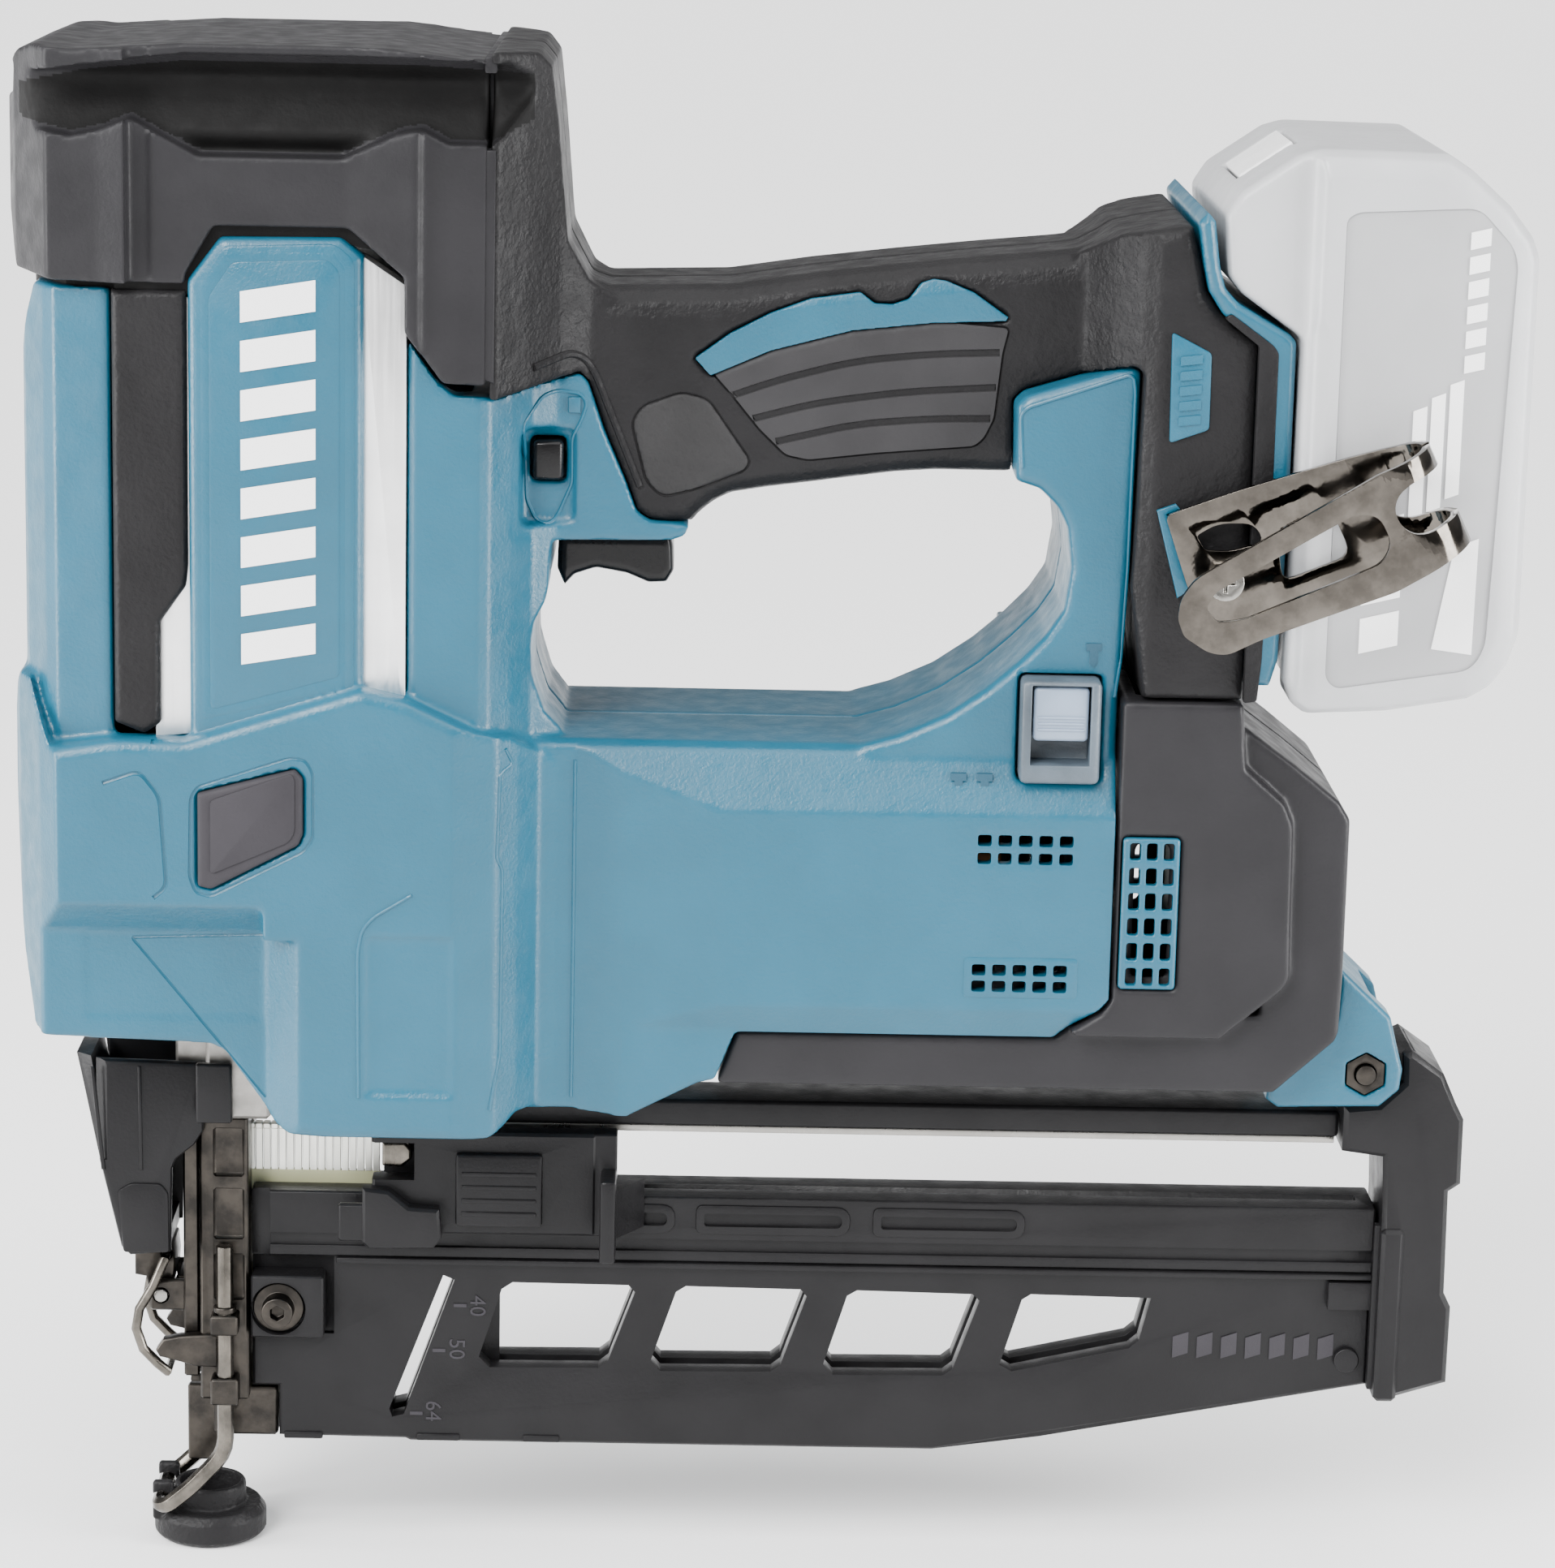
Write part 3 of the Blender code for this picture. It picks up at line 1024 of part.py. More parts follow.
def magazine_post():
    outline = [
        (231.4, 97.2), (231.4, 89.9), (239.8, 88.8), (240.3, 77), (240.3, 36.9), (245, 37.3), (255.2, 40.5),
        (255.3, 56.8), (253.8, 59.8), (253.5, 81.6), (255.9, 83.3), (255.8, 97), (254, 100.5), (251.3, 106.5),
        (244.6, 111.2), (243.0, 110.4), (243.2, 104.6), (238.4, 99.9), (231.4, 99.2),
    ]
    post = prism(outline, "Y", -11.2, 11.2, (1.0, 1.0), 1, name="post")
    strip = box((240.2, 244.8), (-12.4, 12.4), (36.6, 73.6), 0.8, 1, "strip")
    tongue = box((226.8, 246), (-8.2, 8.2), (101.8, 110.8), 0.6, 1, "tongue")
    eye = cylinder(BRACKET_BOLT, "Y", 7.2, -8.2, 8.2, 28, name="eye")
    join(post, strip, tongue, eye)
    bore = cylinder(BRACKET_BOLT, "Y", 2.4, -30, 30, 24, name="bore")
    return part(cut(post, bore), "magazine_post", "black_plastic", (247, 0, 75))


def nail_strip():
    strip = box((1.6, 35.4), (-0.8, 0.8), (NAIL_TOP - NAIL_LENGTH, NAIL_TOP - 1.2), name="shanks")
    join(strip, box((1.6, 35.4), (-1.3, 1.3), (NAIL_TOP - 1.4, NAIL_TOP), name="heads"))
    return part(strip, "nail_strip", "collated_nails", (18, 0, 57))


def magazine_clamp():
    pad = box((9.6, 24.4), (-11.2, -5.2), (46.2, 59.4), 0.4, 1, "pad")
    cut(pad, cylinder((15.2, 52.4), "Y", 5.6, -20, -9.2, 32, name="washer_seat"))
    return part(pad, "magazine_clamp", "black_plastic", (17, -8, 53))


def magazine_screw():
    screw = cylinder((15.2, 52.4), "Y", 5.2, -10.4, -9.6, 32, name="washer")
    join(screw, cylinder((15.2, 52.4), "Y", 3.2, -14.2, -10.2, 28, 3.2, name="head"))
    cut(screw, cylinder((15.2, 52.4), "Y", 1.6, -20, -12, 6, name="socket"))
    return part(screw, "magazine_screw", "dark_steel", (15.2, -12, 52.4))


# ---------------------------------------------------------------- nail pusher
def pusher():
    carriage = box((34.4, 79.8), (-13.4, -8.0), (69.8, 91.4), 0.6, 1, "carriage")
    cut(carriage, box((30, 43), (-20, 0), (81.2, 89), name="tip_notch"))
    join(carriage, box((51.4, 69), (-15.2, -13), (72, 87.4), 0.8, 2, "thumb_pad"))
    wing = box((80.8, 84.0), (-22, -8.0), (66.8, 84.2), 0.7, 2, "wing")
    web = box((79, 84.0), (-13.0, -8.0), (69.8, 91.4), 0.3, 1, "web")
    gusset = prism([(83.6, -22 + 5), (89.6, -8.2), (83.6, -8.2)], "Z", 70.5, 80.8, name="gusset")
    tongue = box((44, 79.8), (-8.4, 1.2), (77.6, 88.6), 0.3, 1, "tongue")
    finger = box((36.0, 60), (-1.2, 1.2), (34, 88.4), 0.0, 1, "finger")
    return part(join(carriage, wing, web, gusset, tongue, finger), "pusher", "black_plastic", (57, -10, 80))


def pusher_tip():
    tip = prism(
        [(36.2, 87.8), (36.2, 82.8), (40.2, 82.6), (42.2, 84.4), (42.2, 86.4), (40.8, 88)], "Y", -9.6, -1.8, (0.4, 0.4), 1,
        name="tip",
    )
    return part(tip, "pusher_tip", "dark_steel", (39, -6, 85))


def pusher_latch():
    outline = [
        (32.7, 80.4), (38, 79.8), (42.1, 76.4), (48.2, 76), (48.7, 69.9), (47.1, 67.8), (34, 67.5), (32.7, 68.8),
    ]
    latch = prism(outline, "Y", -17.0, -13.8, (0.6, 0.0), 1, name="latch")
    join(latch, box((27.7, 33.2), (-15.6, -13.8), (68.6, 76.6), 0.5, 1, "tab"))
    return part(latch, "pusher_latch", "black_plastic", LATCH_PIVOT)


# ---------------------------------------------------------------- the whole tool
def build():
    for side in (LEFT, RIGHT):
        housing_half(side)
        side_guard(side)
        side_pad(side)
        grip_half(side)
        grip_inlay(side)
        rear_cover(side)
        vent_insert(side)
    head_cap()
    battery_mount()
    terminal_block()
    battery_pack()
    battery_button()
    belt_hook()
    hook_screw()
    mode_switch()
    rear_bracket()
    bracket_fixings()
    drive_cylinder()
    cylinder_head()
    bumper()
    piston()
    driver_blade()
    drive_frame()
    lifter()
    gearbox_case()
    motor()
    controller_board()
    trigger()
    trigger_pin()
    trigger_switch()
    lock_button()
    driver_guide()
    nose_bracket()
    nose_door()
    latch_lever()
    latch_plate()
    latch_pin()
    latch_bail()
    contact_arm()
    nose_cushion()
    magazine_body()
    magazine_rail()
    nail_rail()
    magazine_post()
    nail_strip()
    magazine_clamp()
    magazine_screw()
    pusher()
    pusher_tip()
    pusher_latch()


build()
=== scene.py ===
"""Looks of the cordless brad nailer: moulded shells, metal parts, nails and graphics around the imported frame.

Sections are written in millimetres from the nail axis, which lies AXIS_X from the row's origin, as X, Y, Z.
-Y is the side with the belt hook, which the camera sees.
"""
import json
import math

import bmesh
import bpy
from mathutils import Matrix, Vector
from mathutils.bvhtree import BVHTree


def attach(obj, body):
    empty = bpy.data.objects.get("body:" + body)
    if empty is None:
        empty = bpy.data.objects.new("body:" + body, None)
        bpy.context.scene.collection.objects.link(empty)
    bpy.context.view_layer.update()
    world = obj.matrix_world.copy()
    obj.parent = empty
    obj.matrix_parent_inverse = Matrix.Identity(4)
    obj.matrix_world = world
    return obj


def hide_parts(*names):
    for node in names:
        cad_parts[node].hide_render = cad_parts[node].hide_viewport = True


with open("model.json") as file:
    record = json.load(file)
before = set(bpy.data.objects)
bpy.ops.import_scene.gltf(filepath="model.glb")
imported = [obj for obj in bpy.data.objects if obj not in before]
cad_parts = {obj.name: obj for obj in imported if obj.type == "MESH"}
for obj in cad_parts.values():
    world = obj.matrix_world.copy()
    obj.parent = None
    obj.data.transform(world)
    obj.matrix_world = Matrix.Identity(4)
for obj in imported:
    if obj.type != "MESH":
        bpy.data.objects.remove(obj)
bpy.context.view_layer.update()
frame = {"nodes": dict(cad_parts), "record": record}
NODES = frame["nodes"]
BODY_OF = {n: body for body, members in frame["record"]["behaviour"]["bodies"].items() for n in members}

MM = 0.001
AXIS_X = -5.0
LEFT, RIGHT = -1, 1
BOTH = (LEFT, RIGHT)
SIDES = ((LEFT, "left"), (RIGHT, "right"))
COARSE = 1.0
RIM_STEPS = 2
ROUND_SIDES = 32


def at(x, y, z):
    """A point of the nail-axis sections in the row frame, in metres."""
    return Vector((x + AXIS_X, y, z)) * MM


# ---------------------------------------------------------------- mesh helpers
def linked(name, data):
    obj = bpy.data.objects.new(name, data)
    bpy.context.scene.collection.objects.link(obj)
    return obj


def new_object(bm, name):
    mesh = bpy.data.meshes.new(name)
    bm.normal_update()
    bmesh.ops.recalc_face_normals(bm, faces=bm.faces)
    bm.to_mesh(mesh)
    bm.free()
    return linked(name, mesh)


def baked(obj):
    """Applies every modifier, so that the object's own mesh is the finished one."""
    bpy.context.view_layer.update()
    graph = bpy.context.evaluated_depsgraph_get()
    mesh = bpy.data.meshes.new_from_object(obj.evaluated_get(graph))
    obj.modifiers.clear()
    obj.data = mesh
    return obj


def copy_of(node, name):
    obj = linked(name, NODES[node].data.copy())
    obj.data.materials.clear()
    return obj


def add(obj, kind, **settings):
    modifier = obj.modifiers.new(kind.lower(), kind)
    for key, value in settings.items():
        setattr(modifier, key, value)
    return modifier


def shade(obj, angle=40.0):
    """Smooth shading that keeps edges sharper than angle."""
    for polygon in obj.data.polygons:
        polygon.use_smooth = True
    obj.data.set_sharp_from_angle(angle=math.radians(angle))
    return obj


def drop(obj):
    bpy.data.objects.remove(obj, do_unlink=True)


def joined(objects, name):
    """Several loose meshes as one object."""
    bm = bmesh.new()
    for obj in objects:
        obj.data.transform(obj.matrix_world)
        bm.from_mesh(obj.data)
        drop(obj)
    mesh = bpy.data.meshes.new(name)
    bm.to_mesh(mesh)
    bm.free()
    return linked(name, mesh)


def carve(obj, cutters, operation="DIFFERENCE"):
    """Cuts all the cutters out of obj at once, with the exact solver where the fast one does nothing."""
    cutter = joined(cutters, obj.name + "_cutter")
    whole = obj.data
    for solver in ("MANIFOLD", "EXACT"):
        add(obj, "BOOLEAN", object=cutter, operation=operation, solver=solver)
        baked(obj)
        if len(obj.data.polygons) not in (0, len(whole.polygons)):
            break
        obj.data = whole
    drop(cutter)
    return obj


def rounded(bm, edges, bevel, steps):
    bmesh.ops.bevel(
        bm, geom=edges, offset=bevel * MM, segments=steps, profile=0.5, affect="EDGES", clamp_overlap=True
    )


def prism(outline, axis, low, high, bevel=0.0, name="prism"):
    """An outline across axis, extruded from low to high; the rims at both ends are rounded."""
    place = {
        "X": lambda a, b, level: at(level, a, b),
        "Y": lambda a, b, level: at(a, level, b),
        "Z": lambda a, b, level: at(a, b, level),
    }[axis]
    bm = bmesh.new()
    base = bm.faces.new([bm.verts.new(place(a, b, low)) for a, b in outline])
    grown = bmesh.ops.extrude_face_region(bm, geom=[base])["geom"]
    top = [item for item in grown if isinstance(item, bmesh.types.BMFace)][0]
    bmesh.ops.translate(bm, verts=top.verts, vec=place(0, 0, high) - place(0, 0, low))
    if bevel > 0.0:
        rims = list(base.edges) + list(top.edges)
        rounded(bm, rims, bevel, RIM_STEPS)
    return new_object(bm, name)


def sided(y, side):
    """A (near, far) pair off the seam as a sorted Y pair on one side."""
    return tuple(sorted((side * y[0], side * y[1])))


def side_prism(outline, side, inner, outer, bevel=0.0, name="prism"):
    """A side-view outline between two distances off the seam, on one side."""
    return prism(outline, "Y", *sided((inner, outer), side), bevel, name=name)


def box(x, y, z, bevel, steps=RIM_STEPS):
    """A block with rounded edges between two limits on each axis."""
    bm = bmesh.new()
    bmesh.ops.create_cube(bm, size=1.0)
    low, high = at(x[0], y[0], z[0]), at(x[1], y[1], z[1])
    bmesh.ops.scale(bm, vec=high - low, verts=bm.verts)
    bmesh.ops.translate(bm, vec=(high + low) / 2, verts=bm.verts)
    rounded(bm, list(bm.edges), bevel, steps)
    return new_object(bm, "box")


def cylinder(centre, axis, radius, low, high, bevel):
    """A round bar along an axis; centre gives the other two coordinates in X, Y, Z order."""
    bm = bmesh.new()
    bmesh.ops.create_cone(
        bm, cap_ends=True, segments=ROUND_SIDES, radius1=radius * MM, radius2=radius * MM,
        depth=(high - low) * MM,
    )
    rims = [e for e in bm.edges if abs(e.verts[0].co.z - e.verts[1].co.z) < 1e-7]
    rounded(bm, rims, bevel, 3)
    turn = {
        "X": Matrix.Rotation(math.pi / 2, 4, "Y"),
        "Y": Matrix.Rotation(-math.pi / 2, 4, "X"),
        "Z": Matrix.Identity(4),
    }[axis]
    a, b = centre
    middle = (low + high) / 2
    spot = {"X": (middle, a, b), "Y": (a, middle, b), "Z": (a, b, middle)}[axis]
    bm.transform(Matrix.Translation(at(*spot)) @ turn)
    return new_object(bm, "round")


def tube(points, radius, closed):
    """A thin round bead along points in metres."""
    curve = bpy.data.curves.new("bead", "CURVE")
    curve.dimensions = "3D"
    curve.bevel_depth = radius * MM
    curve.bevel_resolution = 2
    curve.use_fill_caps = True
    spline = curve.splines.new("POLY")
    spline.points.add(len(points) - 1)
    spline.use_cyclic_u = closed
    for knot, place in zip(spline.points, points):
        knot.co = (*place, 1.0)
    obj = linked("bead", curve)
    bpy.context.view_layer.update()
    mesh = bpy.data.meshes.new_from_object(obj)
    drop(obj)
    bm = bmesh.new()
    bm.from_mesh(mesh)
    bmesh.ops.remove_doubles(bm, verts=bm.verts, dist=1e-7)
    return new_object(bm, "bead")


def arced(path, radius, steps=8):
    """The path with each inner corner turned into a smooth bend."""
    points = [Vector(p) for p in path]
    result = [tuple(points[0])]
    for before, corner, after in zip(points, points[1:], points[2:]):
        reach = min(radius, (before - corner).length / 2.01, (after - corner).length / 2.01)
        start = corner + (before - corner).normalized() * reach
        end = corner + (after - corner).normalized() * reach
        for i in range(steps + 1):
            t = i / steps
            result.append(tuple(start * (1 - t) ** 2 + corner * 2 * t * (1 - t) + end * t * t))
    result.append(tuple(points[-1]))
    return result


def ringed(outline, radius, steps=4):
    """A closed outline with its corners rounded."""
    points = [Vector(p) for p in outline]
    middle = (points[-1] + points[0]) / 2
    return arced([tuple(middle)] + [tuple(p) for p in points] + [tuple(middle)], radius, steps)[:-1]


# ---------------------------------------------------------------- lines and pads laid on a finished shell
class Skin:
    """Where a shell's surface lies behind a point of the side view."""

    def __init__(self, obj):
        bm = bmesh.new()
        bm.from_mesh(obj.data)
        self.tree = BVHTree.FromBMesh(bm)
        bm.free()

    def under(self, x, z, side):
        return self.tree.ray_cast(at(x, side * 90, z), Vector((0, -side, 0)))[0]


def trace(skin, path, side, radius, lift=0.0, corner=0.8, closed=False, step=0.6, jump=1.6):
    """A thin bead that follows a side-view path over a shell. It skips places where the shell falls away."""
    flat = ringed(path, corner) if closed else arced(path, corner)
    ends = flat + flat[:1] if closed else flat
    places = []
    for start, end in zip(ends, ends[1:]):
        start, end = Vector(start), Vector(end)
        count = max(1, round((end - start).length / step))
        places += [start.lerp(end, i / count) for i in range(count)]
    if not closed:
        places.append(Vector(flat[-1]))
    points = []
    for place in places:
        hit = skin.under(place.x, place.y, side)
        if hit is None or (points and abs(hit.y - points[-1].y) > jump * MM):
            continue
        points.append(hit + Vector((0, side * lift * MM, 0)))
    return tube(points, radius, closed)


def inlaid(shell, outline, side, proud, inner, name, voxel, rounds):
    """A pad that follows the shell's surface inside a side-view outline and stands proud of it."""
    pad = linked(name, shell.data.copy())
    add(pad, "DISPLACE", strength=proud * MM, mid_level=0.0, direction="NORMAL")
    baked(pad)
    carve(pad, [side_prism(outline, side, inner, 60)], "INTERSECT")
    add(pad, "REMESH", mode="VOXEL", voxel_size=voxel * MM * COARSE, use_smooth_shade=True)
    add(pad, "SMOOTH", factor=0.5, iterations=rounds)
    return baked(pad)


# ---------------------------------------------------------------- materials
class Nodes:
    """Short access to one material's node tree."""

    def __init__(self, name, colour, roughness, metallic=0.0, **sockets):
        self.material = bpy.data.materials.new(name)
        self.material.use_nodes = True
        self.tree = self.material.node_tree
        self.shader = self.tree.nodes["Principled BSDF"]
        self.shader.inputs["Base Color"].default_value = (*colour, 1.0)
        self.shader.inputs["Roughness"].default_value = roughness
        self.shader.inputs["Metallic"].default_value = metallic
        for socket, value in sockets.items():
            self.shader.inputs[socket.replace("_", " ")].default_value = value
        self.colour, self.roughness = colour, roughness
        self.where = self.tree.nodes.new("ShaderNodeTexCoord").outputs["Object"]

    def link(self, output, socket):
        self.tree.links.new(output, socket)

    def stretched(self, scale):
        mapping = self.tree.nodes.new("ShaderNodeMapping")
        mapping.inputs["Scale"].default_value = scale
        self.link(self.where, mapping.inputs["Vector"])
        return mapping.outputs["Vector"]

    def noise(self, scale, detail=2.0, roughness=0.5, where=None):
        node = self.tree.nodes.new("ShaderNodeTexNoise")
        node.inputs["Scale"].default_value = scale
        node.inputs["Detail"].default_value = detail
        node.inputs["Roughness"].default_value = roughness
        self.link(where or self.where, node.inputs["Vector"])
        return node.outputs["Fac"]

    def ramp(self, value, low, high, start=0.35, end=0.65):
        """A colour or grey that follows a value between two stops."""
        node = self.tree.nodes.new("ShaderNodeValToRGB")
        for element, position, shown in zip(node.color_ramp.elements, (start, end), (low, high)):
            element.position = position
            element.color = (*shown, 1.0) if isinstance(shown, tuple) else (shown, shown, shown, 1.0)
        self.link(value, node.inputs["Fac"])
        return node.outputs["Color"]

    def vary_colour(self, scale, spread, detail=3.0):
        low = tuple(c * (1 - spread) for c in self.colour)
        high = tuple(c * (1 + spread) for c in self.colour)
        self.link(self.ramp(self.noise(scale, detail), low, high), self.shader.inputs["Base Color"])

    def vary_roughness(self, scale, spread, detail=3.0, where=None):
        self.link(
            self.ramp(self.noise(scale, detail, where=where), self.roughness - spread, self.roughness + spread),
            self.shader.inputs["Roughness"],
        )

    def bump(self, *layers):
        """Stacks (height output, strength, depth in metres) bumps on the surface."""
        normal = None
        for height, strength, depth in layers:
            node = self.tree.nodes.new("ShaderNodeBump")
            node.inputs["Strength"].default_value = strength
            node.inputs["Distance"].default_value = depth
            self.link(height, node.inputs["Height"])
            if normal is not None:
                self.link(normal, node.inputs["Normal"])
            normal = node.outputs["Normal"]
        self.link(normal, self.shader.inputs["Normal"])


def moulding(name, colour, roughness, grain=1500.0, depth=0.00010, spread=0.05, coarse=0.25, **sockets):
    """Injection-moulded plastic with a spark-eroded grain and the faint handling marks of use."""
    made = Nodes(name, colour, roughness, **sockets)
    made.vary_colour(60.0, spread)
    made.vary_roughness(220.0, 0.06)
    made.bump((made.noise(grain, 2.5, 0.6), 0.55, depth), (made.noise(grain * 0.28, 2.0), coarse, depth * 1.5))
    return made.material


def metal(name, colour, roughness, brush=(1.0, 1.0, 1.0), grain=900.0, depth=0.00003, stain=None, **sockets):
    """Machined, rolled or plated metal; brush stretches its grain along one axis, stain darkens it in spots."""
    made = Nodes(name, colour, roughness, 1.0, **sockets)
    where = made.stretched(brush)
    if stain is None:
        made.vary_colour(90.0, 0.06)
    else:
        spots = made.ramp(made.noise(170.0, 6.0, 0.62), stain, colour, 0.38, 0.62)
        made.link(spots, made.shader.inputs["Base Color"])
    made.vary_roughness(grain * 0.5, 0.06, where=where)
    made.bump((made.noise(grain, 4.0, where=where), 0.4, depth))
    return made.material


SOFT_SHINE = {"Specular_IOR_Level": 0.13}
MATERIALS = {
    "teal": moulding("teal_plastic", (0.0042, 0.078, 0.130), 0.36, 1500.0, 0.00015, 0.05, 0.35,
                     Specular_IOR_Level=0.50),
    # painted shade: a darker copy of the teal for the mode icons, standing for the shade in an engraving
    "teal_painted_shade": moulding("teal_icon_painted_shade", (0.0040, 0.050, 0.085), 0.5, 1500.0, 0.00008, 0.05),
    "rubber": moulding("black_elastomer", (0.0110, 0.0106, 0.0112), 0.44, 900.0, 0.00042, 0.14, 0.5,
                       **SOFT_SHINE),
    # painted shade: a darker, duller copy of the black elastomer for the hollow under the head's roof and for
    # the dark fillers in the gaps by the cap
    "rubber_painted_shade": moulding("black_elastomer_painted_shade", (0.0050, 0.0048, 0.0048), 0.60, 1100.0, 0.00012, 0.15,
                            Specular_IOR_Level=0.12),
    "rubber_ribs": moulding("grip_ribs", (0.0270, 0.0262, 0.0275), 0.50, 1500.0, 0.00010, 0.10, **SOFT_SHINE),
    "rubber_rough": moulding("grip_thumb_pad", (0.0230, 0.0225, 0.0230), 0.55, 750.0, 0.00060, 0.12, 0.7,
                             **SOFT_SHINE),
    "cap": moulding("head_elastomer", (0.0170, 0.0165, 0.0180), 0.42, 1300.0, 0.00014, 0.10, 0.3, **SOFT_SHINE),
    "cover": moulding("black_nylon_cover", (0.0140, 0.0135, 0.0150), 0.40, 1500.0, 0.00010, 0.10,
                      Specular_IOR_Level=0.20),
    "black": moulding("black_nylon", (0.0075, 0.0072, 0.0078), 0.36, 1500.0, 0.00010, 0.14,
                      Specular_IOR_Level=0.18),
    "pad": moulding("grey_rubber", (0.0300, 0.0280, 0.0320), 0.60, 1500.0, 0.00012, 0.08, **SOFT_SHINE),
    "trigger": moulding("trigger_plastic", (0.0045, 0.0042, 0.0045), 0.26, 2200.0, 0.00005, 0.10,
                        Specular_IOR_Level=0.25),
    "chrome": metal("plated_steel", (0.135, 0.121, 0.105), 0.09, (1, 1, 1), 120.0, 0.00030,
                    (0.085, 0.076, 0.066)),
    "aluminium": metal("aluminium", (0.96, 0.96, 0.96), 0.40, (1, 1, 0.03), 2600.0, 0.00001),
    "dark_steel": metal("phosphated_steel", (0.052, 0.046, 0.040), 0.36, (1, 1, 1), 1100.0, 0.00006,
                        (0.026, 0.024, 0.022)),
    "rod_steel": metal("oiled_spring_steel", (0.155, 0.140, 0.120), 0.26, (1, 1, 0.1), 1500.0, 0.00003,
                       (0.085, 0.078, 0.068)),
    "cast": metal("cast_alloy", (0.34, 0.325, 0.305), 0.46, (1, 1, 1), 700.0, 0.00008, (0.26, 0.25, 0.235)),
    "bright_steel": metal("zinc_plated_steel", (0.30, 0.29, 0.27), 0.30, (1, 1, 1), 900.0, 0.00003),
    "blade_steel": metal("ground_steel", (0.50, 0.49, 0.47), 0.26, (1, 1, 0.05), 2400.0, 0.00002),
    "copper": metal("enamelled_copper", (0.70, 0.30, 0.11), 0.34, (0.1, 1, 1), 2800.0, 0.00010),
    "board": moulding("circuit_board", (0.03, 0.16, 0.07), 0.4, 900.0, 0.00010, 0.15),
    "nails": metal("nail_wire", (0.80, 0.80, 0.74), 0.40, (1, 1, 0.08), 1500.0, 0.00004),
    "glue": moulding("collating_film", (0.50, 0.50, 0.30), 0.35, 1400.0, 0.00005, 0.12),
    "bezel": moulding("grey_bezel", (0.060, 0.080, 0.100), 0.42, 1300.0, 0.00018, 0.30, 0.5),
    "lens": moulding("pale_lens", (0.22, 0.28, 0.37), 0.20, 500.0, 0.00002, 0.08),
    "battery": moulding("pale_battery", (0.42, 0.425, 0.435), 0.36, 1500.0, 0.00007, 0.03),
    "battery_side": moulding("battery_side_panel", (0.33, 0.333, 0.34), 0.34, 1500.0, 0.00005, 0.03),
    "battery_light": moulding("pale_battery_cap", (0.80, 0.80, 0.80), 0.36, 1500.0, 0.00005, 0.02),
    "print": moulding("white_print", (0.90, 0.90, 0.90), 0.45, 1500.0, 0.00003, 0.01),
}


def painted(obj, material):
    obj.data.materials.clear()
    obj.data.materials.append(MATERIALS[material])
    return obj


def finish(obj, body, material, *nodes, angle=40.0):
    """Shades a piece, gives it its material, puts it on its body and lets it stand for CAD nodes."""
    painted(shade(obj, angle), material)
    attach(obj, body)
    if nodes:
        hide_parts(*nodes)
    return obj


def trim(obj, node, material, angle=40.0):
    """A detail that rides with a CAD node's body, in the material given, without standing for it."""
    finish(obj, BODY_OF[node], material, angle=angle)
    return obj


def trims(pieces, name, node, material, angle=40.0):
    return trim(joined(pieces, name), node, material, angle)


# ---------------------------------------------------------------- shells from the CAD solids
def softened(node, name, voxel, rounds, keep=0.35):
    """A copy of a CAD node with every edge melted round, as a mould tool leaves it."""
    obj = copy_of(node, name)
    add(obj, "REMESH", mode="VOXEL", voxel_size=voxel * MM * COARSE, use_smooth_shade=True)
    add(obj, "SMOOTH", factor=0.5, iterations=rounds)
    if keep < 1.0:
        add(obj, "DECIMATE", ratio=keep)
    return baked(obj)


def moulded(node, material, voxel, rounds, keep=0.35):
    return finish(softened(node, node + "_shell", voxel, rounds, keep), BODY_OF[node], material, node)


def crisp(node, width=0.3, segments=2, angle=30.0):
    """A copy of a CAD node with small rounded edges."""
    obj = copy_of(node, node + "_part")
    bm = bmesh.new()
    bm.from_mesh(obj.data)
    bmesh.ops.remove_doubles(bm, verts=bm.verts, dist=2e-6)
    bmesh.ops.dissolve_limit(bm, angle_limit=math.radians(2.0), verts=bm.verts, edges=bm.edges)
    bm.to_mesh(obj.data)
    bm.free()
    add(
        obj, "BEVEL", width=width * MM, segments=segments, limit_method="ANGLE",
        angle_limit=math.radians(angle), use_clamp_overlap=True,
    )
    return baked(obj)


def edged(node, material, width=0.3, segments=2, angle=30.0):
    """For machined and stamped parts: the CAD shape with small rounded edges."""
    return finish(crisp(node, width, segments, angle), BODY_OF[node], material, node)


# ---------------------------------------------------------------- head: housing halves
def slanted_bars(side, y, origin, count, pitch, width, height, lean):
    """A row of plain slanted bars, in place of lettering, climbing along the side view."""
    bars = []
    for i in range(count):
        x, z = origin[0] + pitch[0] * i, origin[1] + pitch[1] * i
        outline = [(x, z), (x + width, z + lean), (x + width, z + lean + height), (x, z + height)]
        bars.append(side_prism(outline, side, *y, name="bar"))
    return bars


